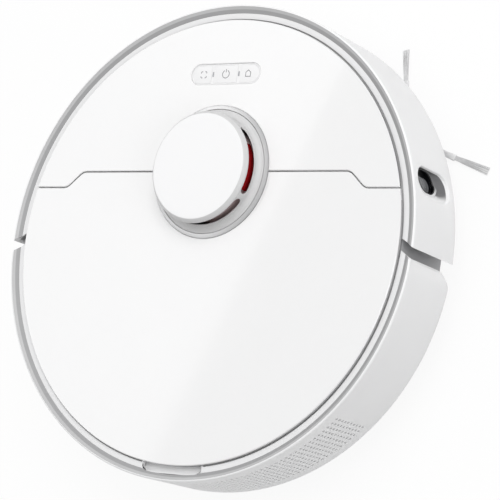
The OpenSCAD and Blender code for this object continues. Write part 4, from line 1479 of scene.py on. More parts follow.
    def hole_tile(self) -> Sheet:
        """One square of the exhaust grille with its hole, flat, its outer face at height zero.

        Returns:
            The tile.
        """
        a, b = self.hole_pitch / 2, self.hole_rise / 2
        side = [(-a, -b), (-a / 3, -b), (a / 3, -b), (a, -b), (a, -b / 3), (a, b / 3)]
        rim = side + [(-x, -y) for x, y in side]
        hole = [tuple(self.hole_r * np.array([cos(t), sin(t)])) for t in np.radians(np.arange(225, 585, 30))]
        back = -self.wall_t
        rings = [(rim, 0.0, 1.0), (hole, 0.0, 1.12), (hole, -0.1, 1.0), (hole, back, 1.0), (rim, back, 1.0)]
        return Sheet().grid(
            np.array([[(x * k, y * k, z) for x, y in ring] for ring, z, k in rings]), closed_columns=True
        )

    def grille(self) -> Sheet:
        """The exhaust grille's pierced patch of wall.

        Returns:
            The patch.
        """
        return grown(
            self.hole_tile(), "perforated_wall", SHELL_WHITE_SHADED_LEDGE, Columns=self.hole_columns, Rows=self.hole_rows,
            Pitch=self.hole_pitch * MM, Rise=self.hole_rise * MM, Radius=self.r * MM,
            Middle_Angle=radians(270), Middle_Height=self.grille_z * MM,
        )

    def housing_columns(self) -> tuple[list[float], Block]:
        """The rear housing's columns and the block that the grille fills.

        Returns:
            The columns' angles, and the block.
        """
        start = 180 - self.end_angle(self.rear_end, self.r)
        half, high = self.hole_columns * self.hole_turn / 2, self.hole_rows * self.hole_rise / 2
        grille = Block((270 - half, 270 + half), (self.grille_z - high, self.grille_z + high))
        return self.columns(start, 540 - start, [(*grille.columns, self.hole_turn / 3)]), grille

    def rear(self) -> Sheet:
        """The rear housing with its grille and the finger notch.

        Returns:
            Its faces.
        """
        angles, grille = self.housing_columns()
        count = self.hole_rows * 3
        heights = [26.5, *np.linspace(*grille.heights, count + 1), 73.0]
        wall = self.sweep(self.profile(heights), angles, self.rear_end, True, [grille])
        return joined(wall, self.grille())

    def notch_tray(self) -> Sheet:
        """The tray under the finger notch: its floor and the three walls down to it.

        Returns:
            The tray.
        """
        half = radians(self.notch_half) * self.ledge_r
        inner, outer, corner, thick = self.datum.plate_r + 0.15, self.notch_r, self.notch_corner, 1.0
        right = arc((half - corner, -(outer - corner)), corner, 0, -90, 8)
        outline = [(half, -inner), *right, *[(-x, y) for x, y in reversed(right)], (-half, -inner)]
        path = np.array([self.bend(p) for p in outline])
        ahead = np.gradient(path, axis=0)
        ahead /= np.linalg.norm(ahead, axis=1)[:, None]
        out = np.stack([ahead[:, 1], -ahead[:, 0]], axis=1)
        if out[len(out) // 2][1] > 0:
            out = -out
        high, floor = self.ledge_z - 0.02, self.notch_floor
        section = [(0.0, high), (0.0, floor), (0.0, floor - 0.8), (thick, floor - 0.8), (thick, high)]
        rows = np.array([[(*(p + o * d), z) for p, o in zip(path, out)] for d, z in section])
        sheet = Sheet().grid(rows, closed_rows=True, capped=True)
        return sheet.plate([tuple(p) for p in path][::-1], floor - 0.8, floor)

    def bend(self, point: Point) -> np.ndarray:
        """Bends a point of the notch's flat outline round the machine's rear."""
        return polar(270 + degrees(point[0] / self.ledge_r), -point[1])

    def build(self) -> None:
        """Makes and dresses the walls, trims, windows and the notch's tray."""
        make("bumper_wall", "bumper", SHELL_WHITE_SHADED_LEDGE, self.bumper(), "bumper_shell")
        make("rear_wall", "body", SHELL_WHITE_SHADED_LEDGE, self.rear(), "rear_housing")
        start = self.end_angle(self.bumper_end, self.r)
        front = self.sweep(self.trim_profile(), self.columns(start, 180 - start, []), self.bumper_end, False)
        make("bumper_trim", "bumper", SILVER_TRIM_SHADED_INNER, front, "front_trim")
        rear = self.sweep(self.trim_profile(), self.housing_columns()[0], self.rear_end, True)
        make("housing_trim", "body", SILVER_TRIM_SHADED_INNER, rear, "rear_trim")
        make("finger_tray", "body", WHITE_INNER, self.notch_tray())
        # The shelves' grey is painted shade for the line in the gap round the plates.
        make("gap_liner", "body", PALE_SHADE_GREY, self.gap_liner())
        scoop, cup, lens = self.sensor_pieces()
        make("wall_sensor_scoop", "bumper", SCOOP_PAINTED_SHADE, scoop)
        make("wall_sensor_cup", "bumper", BLACK_GLOSS, cup, "wall_sensor_window")
        make("wall_sensor_eye", "bumper", SENSOR_GREY, lens, "wall_sensor_lens")
        make("dock_pane", "bumper", BLACK_GLOSS, self.dock_pane(), "dock_window")


# ---- Top plates ----


def stroke(sheet: Sheet, path: Loop, width: float, low: float, high: float, closed: bool = False) -> Sheet:
    """Adds a flat bar of even width along a path.

    Args:
        sheet: The sheet to add to.
        path: The middle of the bar in plan.
        width: Its width.
        low: The height of its underside.
        high: The height of its top.
        closed: Whether the path joins up.

    Returns:
        The sheet.
    """
    line = np.array(path, float)
    ahead = np.roll(line, -1, axis=0) - line
    behind = line - np.roll(line, 1, axis=0)
    if not closed:
        ahead[-1], behind[0] = behind[-1], ahead[0]
    ahead /= np.linalg.norm(ahead, axis=1)[:, None]
    behind /= np.linalg.norm(behind, axis=1)[:, None]
    both = ahead + behind
    across = np.stack([-both[:, 1], both[:, 0]], axis=1) / np.maximum((both**2).sum(axis=1), 1.0)[:, None]
    left, right = line + across * width, line - across * width
    sides = ((left, low), (right, low), (right, high), (left, high))
    rows = np.array([[(*p, z) for p in side] for side, z in sides])
    return sheet.grid(rows, closed_rows=True, closed_columns=closed, capped=not closed)


@dataclass
class TopPlates:
    """The glossy front plate, the glossy lid with its frame, and the soft grey seals round both, strips of painted
    shade in their gaps.
    """

    datum: Datum
    split_y: float = 49.75
    split_step: float = 12.0
    split_gap: float = 0.9
    jog_x: float = 114.0
    jog_r: float = 9.0
    jog_angle: float = 42.0
    front_gap: float = 0.12
    lid_gap: float = 0.3
    panel_t: float = 0.8
    front_lip: float = 0.68
    plate_t: float = 2.28
    ease: float = 0.55
    undercut: float = 2.2
    seal_w: float = 0.42
    seal_ends: Pair = (0.7, -2.8)
    steps: int = 256

    def split_half(self, shift: float) -> Loop:
        """The right half of the split line moved forwards, from the middle out to the plate's edge.

        Args:
            shift: How far forwards.

        Returns:
            The line's points.
        """
        r, turn = self.jog_r, self.jog_angle
        slope = radians(turn)
        width = 2 * r * sin(slope) + (self.split_step - 2 * r * (1 - cos(slope))) / tan(slope)
        low = self.split_y - self.split_step
        start = arc((self.jog_x, self.split_y - r), r + shift, 90, 90 - turn, 10)
        end = arc((self.jog_x + width, low + r), r - shift, 270 - turn, 270, 10)
        return start + end

    def turret_arc(self, radius: float, shift: float, front: bool) -> Loop:
        """The arc round the turret between the split line's two halves, from right to left."""
        lift = degrees(asin((self.split_y + shift - self.datum.turret_y) / radius))
        return arc((0.0, self.datum.turret_y), radius, lift, (180 if front else -180) - lift, 96)

    def outline(self, front: bool, radius: float, shift: float, gap: float) -> Loop:
        """The outline of the front plate or the lid, anticlockwise.

        Args:
            front: Whether it is the front plate.
            radius: The radius of its round edge.
            shift: How far its straight edge lies in front of the split line.
            gap: Its distance from the turret's ring.

        Returns:
            The outline's points.
        """
        half = self.split_half(shift)
        low = degrees(asin((self.split_y - self.split_step + shift) / radius))
        ring = self.datum.turret_base_r + gap
        left = [(-x, y) for x, y in half]
        if front:
            rim = arc((0, 0), radius, low, 180 - low, self.steps)
            return rim + left[::-1] + self.turret_arc(ring, shift, True)[::-1] + half
        rim = arc((0, 0), radius, 180 - low, 360 + low, self.steps)
        return rim + half[::-1] + self.turret_arc(ring, shift, False) + left

    def seal(self, front: bool, low: float, high: float) -> Sheet:
        """The soft grey strip under the round edge of a plate: painted shade in the gap round it.

        Args:
            front: Whether it lies under the front plate.
            low: The height of its underside.
            high: The height of its top.

        Returns:
            The closed strip.
        """
        outer = self.datum.plate_r - 0.06
        shift = self.split_gap / 2 * (1 if front else -1)
        angle = degrees(asin((self.split_y - self.split_step + shift) / outer)) + self.seal_ends[0 if front else 1]
        span = (angle, 180 - angle) if front else (180 - angle, 360 + angle)
        inner = outer - self.seal_w
        mid = (low + high) / 2
        profile = [(inner, low), (outer - 0.1, low), (outer, low + 0.1), (outer - 0.05, mid), (outer, high - 0.1),
                   (outer - 0.1, high), (inner, high)]
        return Sheet().lathe(profile, steps=240, span=span)

    def build(self) -> None:
        """Makes and dresses the two plates, the lid's frame and the grey seals, strips of painted shade."""
        top = self.datum.top_z
        low, high = node_box("button_panel")
        size = high - low + 0.14
        hole = obround(size[0], size[1], middle("button_panel")[:2])
        shift = self.split_gap / 2
        face = self.outline(True, self.datum.plate_r, shift, self.front_gap)
        front = Sheet().plate(face, top - self.front_lip, top, self.ease, [hole], cuts=1)
        body = self.outline(True, self.datum.plate_r - self.seal_w - 0.1, shift + self.undercut, self.front_gap)
        front.plate(body, top - self.plate_t, top - self.front_lip - 0.01, holes=[offset(hole, -0.3)])
        make("front_cover", "body", GLOSS_WHITE, front, "front_plate", weld=0.0005)
        # Grey strips of painted shade in the gaps round the front plate and the lid.
        seal = self.seal(True, top - self.plate_t, top - self.panel_t - 0.02)
        make("front_seal", "body", DARK_SHADE_GREY, seal)
        face = self.outline(False, self.datum.plate_r, -shift, self.lid_gap)
        lid = Sheet().plate(face, top - self.panel_t, top, self.ease, cuts=1)
        make("lid_cover", "lid", GLOSS_WHITE, lid, "lid_panel", weld=0.0005)
        refine("lid_frame", "lid", WHITE_INNER, 0.15)
        low, high = node_box("lid_frame")
        make("lid_seal", "lid", PALE_SHADE_GREY, self.seal(False, low[2] + 0.2, high[2] - 0.02))
        refine("top_deck", "body", WHITE_INNER, 0.2)
        refine("lid_hinge_pins", "body", STEEL, 0.0)


@dataclass
class ButtonPanel:
    """The pill-shaped panel with its three keys, their signs and the two status lights."""

    datum: Datum
    key_top: float = 0.6
    play: float = 0.05
    edge: float = 1.15
    splits: tuple[float, float, float, float] = (-12.6, -10.0, 10.0, 12.6)
    line: float = 0.56
    sign_x: float = 19.6
    sign_t: float = 0.07
    lamp_w: float = 1.1

    def __post_init__(self) -> None:
        """Reads the panel's place."""
        low, high = node_box("button_panel")
        self.centre = middle("button_panel")
        self.size = high - low + 0.3
        self.top = self.datum.top_z - self.key_top

    def key(self, k: int, margin: float) -> Loop:
        """The outline of a key drawn in by a margin, anticlockwise.

        Args:
            k: Which key, from the left.
            margin: The margin.

        Returns:
            The outline.
        """
        cx, cy = self.centre[:2]
        half = self.size[1] / 2 - self.edge - margin
        reach = self.size[0] / 2 - self.size[1] / 2
        ends = [cx + x + side * margin for x, side in zip(self.splits, (-1, 1, -1, 1))]
        if k == 1:
            return [(ends[1], cy - half), (ends[2], cy - half), (ends[2], cy + half), (ends[1], cy + half)]
        if k == 2:
            return [(ends[3], cy - half), *arc((cx + reach, cy), half, -90, 90, 16), (ends[3], cy + half)]
        return [(ends[0], cy + half), *arc((cx - reach, cy), half, 90, 270, 16), (ends[0], cy - half)]

    def signs(self) -> dict[str, Sheet]:
        """The signs on the keys: four corners, a power ring and a house.

        Returns:
            The signs by name.
        """
        low, high = self.top - 0.03, self.top + self.sign_t
        cx, cy = self.centre[:2]
        spot = Sheet()
        for sx in (-1, 1):
            for sy in (-1, 1):
                x, y = cx - self.sign_x, cy
                path = [(x + sx * 2.35, y + sy * 1.0), (x + sx * 2.35, y + sy * 1.8)]
                path += [(x + sx * (2.35 - 0.5 * (1 - cos(t))), y + sy * (1.8 + 0.5 * sin(t)))
                         for t in np.radians([30, 60, 90])]
                stroke(spot, path + [(x + sx * 1.0, y + sy * 2.3)], self.line, low, high)
        power = stroke(Sheet(), arc((cx, cy), 2.95, 118, 422, 36), self.line, low, high)
        stroke(power, [(cx, cy + 1.3), (cx, cy + 3.8)], self.line, low, high)
        x, y = cx + self.sign_x, cy
        house = [(x - 2.1, y - 2.2), (x + 2.1, y - 2.2), (x + 2.1, y + 0.8), (x, y + 2.6), (x - 2.1, y + 0.8)]
        home = stroke(Sheet(), house, self.line, low, high, closed=True)
        return {"spot": spot, "power": power, "home": home}

    def build(self) -> None:
        """Makes and dresses the panel, keys, signs and lights."""
        low, high = node_box("button_panel")
        rim = obround(self.size[0] - 0.3, self.size[1] - 0.3, self.centre[:2], 24)
        first, last = node_box("status_lights")
        starts = (first[0], last[0] - self.lamp_w)
        wide, back, front = self.lamp_w + 0.05, first[1] - 0.05, last[1] + 0.05
        lamps = [[(x - 0.05, back), (x + wide, back), (x + wide, front), (x - 0.05, front)] for x in starts]
        holes = [self.key(k, 0.0) for k in range(3)] + lamps
        panel = Sheet().plate(rim, high[2] - 1.6, high[2], 0.3, holes)
        panel.plate(offset(rim, 0.02), low[2], high[2] - 1.61)
        make("button_plate", "body", PANEL_WHITE, panel, "button_panel", weld=0.0005)
        signs = self.signs()
        for k, name in enumerate(("spot", "power", "home")):
            base = node_box(f"{name}_button")[0][2]
            key = Sheet().plate(self.key(k, self.play), base, self.top, 0.05)
            make(f"{name}_keytop", f"{name}_key", PANEL_WHITE, key, f"{name}_button", weld=0.0005)
            make(f"{name}_sign", f"{name}_key", ICON_GREY, signs[name])
        lights = Sheet()
        for x in starts:
            across = obround(last[1] - first[1], self.lamp_w, ((first[1] + last[1]) / 2, x + self.lamp_w / 2), 8)
            lights.plate([(px, py) for py, px in across][::-1], first[2], self.top + 0.05, 0.15)
        make("status_lamps", "body", ICON_LIGHT, lights, "status_lights", weld=0.0005)


# ---- Turret ----


@dataclass
class Turret:
    """The ring, the pressable cap with its four slots, and the ranging unit inside."""

    datum: Datum
    top_r: float = 38.9
    slot_low: float = 12.0
    slot_high: float = 4.1
    slot_angle: float = 73.5
    post: float = 6.0
    post_angle: float = -30.0
    wall: float = 0.9
    lip: float = 1.6
    columns: int = 36
    rows: int = 6

    def __post_init__(self) -> None:
        """Works out the radii and heights that follow from the sizes."""
        self.cap_r = self.top_r + 2.4
        self.skirt_r = self.datum.turret_base_r - 3.1
        self.slot_z = (self.datum.turret_top - self.slot_low, self.datum.turret_top - self.slot_high)
        self.centre = (0.0, self.datum.turret_y)

    def ring(self) -> Sheet:
        """The fixed ring round the cap, with a rounded lip.

        Returns:
            The ring.
        """
        r, top = self.datum.turret_base_r, self.datum.top_z
        high, bore = top + self.lip, self.skirt_r + 0.35
        inner = arc((bore + 0.35, high - 0.35), 0.35, 60, 180, 5)
        profile = [(r - 5.9, top - 3.3), (r, top - 3.3), (r, top - 0.1), (r - 0.1, top + 0.1), *inner,
                   (bore, top - 0.6), (r - 5.9, top - 0.6)]
        return Sheet().lathe(profile, self.centre, 240)

    def cap(self) -> Sheet:
        """The cap: flat top, sloping shoulder, slotted wall and the concave flare below it.

        Returns:
            The cap.
        """
        top, base = self.datum.turret_top, self.datum.top_z
        low, high = self.slot_z[0] - 0.4, top - 3.2
        angles = [self.post_angle + 90 * k + 90 * i / self.columns for k in range(4) for i in range(self.columns)]
        levels = list(np.linspace(low, high, self.rows + 1))
        flare_h, flare_w = low - base - 1.5, self.skirt_r - self.cap_r
        flare = [(self.skirt_r - flare_w * cos(t), low - flare_h * sin(t))
                 for t in np.radians(np.linspace(84, 0, 13))]
        crown_out = [(self.cap_r, high), (self.cap_r - 0.14, high + 0.42), (self.cap_r - 0.42, high + 0.84)]
        shoulder = [*crown_out, (self.top_r + 0.62, top - 0.62), (self.top_r + 0.18, top - 0.2),
                    (self.top_r - 0.35, top - 0.04), (self.top_r - 1.2, top)]
        lid = [(r, top) for r in (30.0, 18.0, 6.0, 0.0)]
        inner_r = self.cap_r - self.wall
        under = [(0.0, top - 1.8), (self.cap_r - 4.4, top - 2.6), (inner_r, high - 0.6)]
        foot = [(inner_r, low), (inner_r, low - 2.4), (self.cap_r + 0.6, base + 1.6), (self.skirt_r - 1, base + 1),
                (self.skirt_r - 0.2, base + 1), (self.skirt_r, base + 1.2)]
        upper = self.turned(shoulder + lid + under[:2], angles)
        joint = self.turned([under[1], (inner_r, high)], angles)
        lower = self.turned([(inner_r, low), *foot[1:], *flare], angles)
        sheet = joined(upper, joint, lower)
        for k in range(4):
            sheet = joined(sheet, self.slot_frame(k, levels, inner_r))
        return sheet

    def turned(self, profile: Loop, angles: Sequence[float]) -> Sheet:
        """An open profile turned round the turret's axis at given angles."""
        return Sheet().grid(turned_rows(profile, self.centre, np.radians(angles)), closed_columns=True)

    def slot_frame(self, k: int, levels: Sequence[float], inner_r: float) -> Sheet:
        """One quarter of the wall round its slot: outer face, rounded edge, reveal and inner face.

        Args:
            k: Which quarter.
            levels: The heights of the rows.
            inner_r: The wall's inner radius.

        Returns:
            The quarter's faces.
        """
        start = self.post_angle + 90 * k
        length = radians(self.slot_angle) * self.cap_r
        near = (self.post + self.slot_angle) / 2
        angle = start + (near if k % 2 == 0 else 90 - near)
        slot = Recess(angle, sum(self.slot_z) / 2, length, self.slot_z[1] - self.slot_z[0], False)
        rim = block_rim([start + 90 * i / self.columns for i in range(self.columns + 1)], levels)
        loops = [(None, self.cap_r), (0.3, self.cap_r), (0.08, self.cap_r - 0.08), (0.0, self.cap_r - 0.3),
                 (0.0, inner_r), (None, inner_r)]
        rings = []
        for grow, radius in loops:
            ring = rim if grow is None else [slot.around(self.cap_r, spot, grow) for spot in rim]
            rings.append([(*(np.array(self.centre) + polar(a, radius)), z) for a, z in ring])
        return Sheet().grid(np.array(rings), closed_columns=True)

    def rotor(self) -> Sheet:
        """The turning drum with a stepped flange and a groove for the belt.

        Returns:
            The drum.
        """
        low, high = node_box("lidar_rotor")
        r = (high[0] - low[0]) / 2
        belt = r - 2
        z0, z1 = low[2], high[2]
        profile = [(6.1, z0), (belt, z0), (belt, z0 + 0.8), (belt - 0.4, z0 + 1.2), (belt - 0.4, z0 + 4.4),
                   (belt, z0 + 4.8), (belt, z0 + 5.4), (r - 0.3, z0 + 6.2), (r, z0 + 6.6), (r, z1 - 0.6),
                   (r - 0.2, z1 - 0.2), (r - 0.6, z1), (r - 1.8, z1), (r - 2, z1 - 0.2), (r - 2, z0 + 8.6),
                   (6.1, z0 + 8.6)]
        return Sheet().lathe(profile, self.centre, 160)

    def build(self) -> None:
        """Makes and dresses the ring, the cap and the ranging unit."""
        make("turret_ring", "body", RING_PAINTED_SHADE, self.ring(), "turret_base")
        make("turret_cover", "turret", CAP_WHITE_SHADED_SIDES, self.cap(), "turret_cap")
        make("ranging_drum", "rotor", ROTOR_BROWN, self.rotor(), "lidar_rotor")
        refine("lidar_window", "rotor", LASER_RED, 0.2)
        refine("lidar_base", "body", DARK_PLASTIC, 0.3)
        refine("lidar_belt", "body", BELT_RUBBER, 0.2)
        refine("lidar_pulley", "pulley", GREY_PLASTIC, 0.15)


# ---- Brushes ----


@dataclass
class SideBrush:
    """The three-armed side brush: hub, holders and tufts of bristles."""

    hub_r: float = 12.0
    angles: Triple = (100.2, -19.8, -139.8)
    tilt: float = 4.0
    holder: float = 43.3
    reaches: Triple = (67.9, 71.5, 71.5)
    strands: int = 15
    strand_r: float = 0.2
    tuft_w: float = 2.9
    fan: float = 0.09
    level: float = 6.6
    layer: float = 0.3

    def __post_init__(self) -> None:
        """Reads the hub's place."""
        anchor = next(j for j in frame["joints"] if j["name"] == "side_brush_spin")["pos_m"]
        self.centre = (anchor[0] / MM, anchor[1] / MM)

    def arm_place(self, angle: float) -> Matrix:
        """The place of an arm: its X runs outwards along the arm."""
        turn = Matrix.Rotation(radians(angle), 4, "Z") @ Matrix.Rotation(radians(self.tilt), 4, "Y")
        return Matrix.Translation((*self.centre, 0)) @ turn

    def hub(self) -> Sheet:
        """The domed hub with a dished underside, a screw well and its spindle.

        Returns:
            The hub.
        """
        r = self.hub_r
        profile = [(0.0, 6.2), (2.6, 6.2), (2.9, 5.4), (4.2, 5.0), (r - 3.6, 5.0), (r - 1.9, 5.7), (r - 0.5, 7.6),
                   (r, 9.4), (r, 13.2), (r - 0.5, 13.8), (r - 1.2, 14.0), (3.0, 14.0), (3.0, 32.6), (2.6, 33.0),
                   (0.0, 33.0)]
        return Sheet().lathe(profile, self.centre, 72)

    def holder_sheet(self) -> Sheet:
        """One tapered holder along X with a rounded section and a clamped end.

        Returns:
            The holder.
        """
        stations = [(5.0, 3.4, 1.3), (12.0, 3.2, 1.25), (22.0, 2.7, 1.1), (34.0, 2.2, 1.0), (38.0, 2.2, 1.0),
                    (40.0, 2.4, 1.05), (self.holder - 0.2, 2.4, 1.0), (self.holder, 2.2, 0.9)]
        turns = np.linspace(0, tau, 20, endpoint=False)
        ring = [[np.sign(v) * abs(v) ** 0.55 for v in (cos(t), sin(t))] for t in turns]
        rows = [[(x, half * a, self.level + thick * b) for a, b in ring] for x, half, thick in stations]
        return Sheet().loft(rows)

    def strand(self, reach: float) -> Sheet:
        """One bristle along X, tapered and slightly bowed.

        Args:
            reach: How far it reaches from the hub's axis.

        Returns:
            The bristle.
        """
        length = reach - self.holder + 0.5
        turns = np.linspace(0, tau, 5, endpoint=False)
        rows = []
        for share in (0.0, 0.35, 0.7, 1.0):
            r = self.strand_r * (1 - 0.55 * share)
            rows.append([(length * share, r * cos(t), r * sin(t) - 0.5 * share**2) for t in turns])
        return Sheet().loft(rows)

    def build(self) -> None:
        """Makes and dresses the hub with its holders, and the bristles."""
        whole, tufts = self.hub(), []
        for k, angle in enumerate(self.angles):
            whole = joined(whole, self.holder_sheet().placed(self.arm_place(angle)))
            for layer in (-1, 0, 1):
                root = (self.holder - 0.4, -self.tuft_w / 2, self.level + self.layer * layer)
                tuft = grown(
                    self.strand(self.reaches[k]), "turned_row", BRISTLE, Count=self.strands,
                    Advance=(0, self.tuft_w * MM / (self.strands - 1), 0), Axis=(0, 0, 1),
                    Turn=self.fan / (self.strands - 1), Start=-self.fan / 2,
                    Centre=tuple(length * MM for length in root), Sway=0.012, Seed=11 + 3 * k + layer,
                )
                tufts.append(tuft.placed(self.arm_place(angle)))
        make("side_brush_spider", "side_brush", HOLDER_WHITE, whole, "side_brush_hub")
        make("side_brush_tufts", "side_brush", BRISTLE, joined(*tufts), "side_brush_bristles", weld=0.0)
        refine("side_brush_motor", "body", DARK_PLASTIC, 0.4)


@dataclass
class MainBrush:
    """The roller with rubber fins and rows of bristles, its chamber, guard and motor."""

    core_r: float = 9.0
    brush_r: float = 19.7
    rows: int = 3
    tufts: int = 52
    sweep: float = 68.0

    def __post_init__(self) -> None:
        """Reads the roller's place."""
        self.y, self.z = middle("brush_core")[1:]
        self.half = node_box("brush_bristles")[1][0] - 0.5
        self.ends = node_box("brush_core")[1][0]

    def core(self) -> Sheet:
        """The roller's core with flanged ends, and its chevron rubber fins.

        Returns:
            The core with its fins.
        """
        h, e = self.half + 3.6, self.ends
        profile = [(0.0, -e), (2.5, -e), (2.5, -h), (12.6, -h), (13.0, -h + 0.4), (13.0, -h + 2.6),
                   (12.6, -h + 3.0), (9.6, -h + 3.2), (9.0, -h + 4.0)]
        fins = [self.fin(360 * k / self.rows, side) for k in range(self.rows) for side in (-1, 1)]
        return joined(Sheet().lathe(mirrored(profile), steps=48).lying(), *fins).moved((0, self.y, self.z))

    def fin(self, start: float, side: int) -> Sheet:
        """Half of one rubber fin, from an angle in the middle of the roller to the end on one side.

        Args:
            start: The angle in the middle.
            side: The side, 1 or -1.

        Returns:
            The half fin.
        """
        r0, r1 = self.core_r, self.brush_r
        section = [(r0 - 0.6, -1.5), (r0 + 3, -0.9), (r1 - 1.2, -0.7), (r1 - 0.6, 0.0), (r1 - 1.2, 0.7),
                   (r0 + 3, 0.9), (r0 - 0.6, 1.5)]
        rows = []
        for share in np.linspace(0, 1, 33):
            x, turn = side * share * self.half, radians(start + self.sweep * share)
            rows.append([(x, r * cos(turn + t / r), r * sin(turn + t / r)) for r, t in section])
        return Sheet().loft(rows)

    def tuft(self) -> Sheet:
        """One tuft of bristles as a small splayed bundle along Z.

        Returns:
            The tuft.
        """
        sheet = Sheet()
        for x, y in ((-0.5, -0.35), (0.5, -0.35), (0.0, 0.4)):
            rows = [[(x * (1 + 0.5 * s) + 0.34 * k * cos(t), y * (1 + 0.5 * s) + 0.34 * k * sin(t), z)
                     for t in np.radians([0, 120, 240])]
                    for s, k, z in ((0, 1.0, self.core_r - 0.4), (1, 0.55, self.brush_r - 0.3))]
            sheet.loft(rows)
        return sheet

    def bristles(self) -> Sheet:
        """Chevron rows of tufts between the fins.

        Returns:
            The tufts.
        """
        return joined(*(
            grown(
                self.tuft(), "turned_row", BRUSH_BLUE, Count=self.tufts, Turn=-radians(self.sweep / self.tufts),
                Start=-radians(120 * k + 60 + shift), Axis=(1, 0, 0), Sway=0.05, Seed=31 + 4 * k + side,
                Advance=(side * self.half / self.tufts * MM, 0, 0),
                Centre=(side * 0.8 * MM, self.y * MM, self.z * MM),
            )
            for k in range(self.rows) for side in (-1, 1) for shift in (-4, 4)
        ))

    def build(self) -> None:
        """Makes and dresses the roller, its chamber, guard and motor."""
        make("roller_core", "main_brush", BRUSH_GREY, self.core(), "brush_core")
        make("roller_bristles", "main_brush", BRUSH_BLUE, self.bristles(), "brush_bristles", weld=0.0)
        refine("brush_chamber", "body", GREY_PLASTIC, 0.4)
        refine("brush_guard", "body", GREY_PLASTIC, 0.5)
        refine("brush_motor", "body", DARK_PLASTIC, 0.4)


# ---- Wheels ----


@dataclass
class DriveUnits:
    """The two drive wheels on their arms, in their wells."""

    spokes: int = 6
    lugs: int = 24
    lug_h: float = 2.0
    tyre_t: float = 6.0
    coil_turns: float = 7.0
    coil_r: float = 4.2
    coil_length: float = 10.2
    coil_wire: float = 0.55

    def tyre(self, r: float, half: float) -> Sheet:
        """A tyre with staggered slanted lugs.

        Args:
            r: The radius over the lugs.
            half: Half the width.

        Returns:
            The tyre.
        """
        base = r - self.lug_h
        profile = [(r - self.tyre_t, -half), (base - 1.2, -half), (base - 0.4, -half + 0.3), (base, -half + 1.1)]
        rows = [Sheet().lathe(mirrored(profile), steps=96).lying()]
        for hand in (-1, 1):
            outline = [(0.4, -1.75), (half - 0.7, -0.6), (half - 0.7, 2.7), (0.4, 1.55)]
            lug = Sheet().plate(outline, base - 0.4, r - 0.02, 0.45)
            lug.points = [(hand * px, py, pz) for px, py, pz in lug.points]
            rows.append(grown(lug, "turned_row", TYRE_RUBBER, Count=self.lugs, Turn=tau / self.lugs,
                              Start=pi / self.lugs * (hand > 0), Axis=(1, 0, 0)))
        return joined(*rows)

    def rim(self, r: float, h: float) -> Sheet:
        """A rim with a hub, a rounded outer lip, a web and spokes.

        Args:
            r: The radius.
            h: Half the width.

        Returns:
            The rim.
        """
        profile = [(3.1, -h + 1), (7.4, -h + 1), (8.0, -h + 1.6), (8.0, -3.0), (r - 3, -3.0), (r - 3, -h + 0.5),
                   (r - 2.5, -h), (r - 0.02, -h)]
        body = Sheet().lathe(mirrored(profile), steps=96).lying()
        spoke = Sheet().plate([(-h + 2, -1.5), (h - 2, -1.5), (h - 2, 1.5), (-h + 2, 1.5)], 7.5, r - 2.4, 0.3)
        turn = tau / self.spokes
        return joined(body, grown(spoke, "turned_row", GREY_PLASTIC, Count=self.spokes, Turn=turn, Axis=(1, 0, 0)))

    def build(self) -> None:
        """Makes and dresses both units and their springs."""
        for name in ("left", "right"):
            low, high = node_box(f"tyre_{name}")
            x, _, axle = middle(f"tyre_{name}")
            r, half = (high[2] - low[2]) / 2, (high[0] - low[0]) / 2
            pair = (self.tyre(r, half), self.rim(r - self.tyre_t, half))
            tyre, rim = (sheet.moved((x, 0, axle)) for sheet in pair)
            make(f"drive_tyre_{name}", f"wheel_{name}", TYRE_RUBBER, tyre, f"tyre_{name}")
            make(f"drive_rim_{name}", f"wheel_{name}", GREY_PLASTIC, rim, f"wheel_rim_{name}")
            refine(f"wheel_arm_{name}", f"arm_{name}", DARK_PLASTIC, 0.5)
            refine(f"wheel_well_{name}", "body", DARK_PLASTIC, 0.5)
        low, high = node_box("wheel_springs")
        _, y, z = middle("wheel_springs")
        coils = [
            grown(Sheet(), "coil_spring", STEEL, Turns=self.coil_turns, Radius=self.coil_r * MM,
                  Length=self.coil_length * MM, Wire=self.coil_wire * MM, Tilt=(0, -pi / 2, 0),
                  Start=(end * MM, y * MM, z * MM))
            for end in (low[0] + 10.8, high[0] - 0.6)
        ]
        make("pivot_springs", "body", STEEL, joined(*coils), "wheel_springs")


@dataclass
class Caster:
    """The swivelling front wheel and its fork."""

    pin_r: float = 1.55
    hub_r: float = 7.0
    shoulder_r: float = 9.6
    dish: float = 0.5
    band_half: float = 2.6

    def wheel(self) -> Sheet:
        """The roller with a soft band between two shoulders.

        Returns:
            The roller.
        """
        low, high = node_box("caster_wheel")
        r, h = (high[2] - low[2]) / 2, (high[0] - low[0]) / 2
        dish, band = -h + self.dish, self.band_half
        profile = [(self.pin_r, -h), (self.hub_r, -h), (self.hub_r + 0.4, dish), (self.shoulder_r - 0.4, dish),
                   (self.shoulder_r, -h), (r - 2, -h), (r - 0.9, -h + 0.7), (r - 0.1, -h + 1.9), (r, -h + band),
                   (r, -band), (r - 0.5, -band + 0.3)]
        return Sheet().lathe(mirrored(profile), steps=72).lying().moved(middle("caster_wheel"))

    def build(self) -> None:
        """Makes and dresses the caster."""
        make("caster_roll", "caster_roller", WHITE_INNER, self.wheel(), "caster_wheel")
        refine("caster_fork", "caster", GREY_PLASTIC, 0.5)


# ---- Underside and inside ----


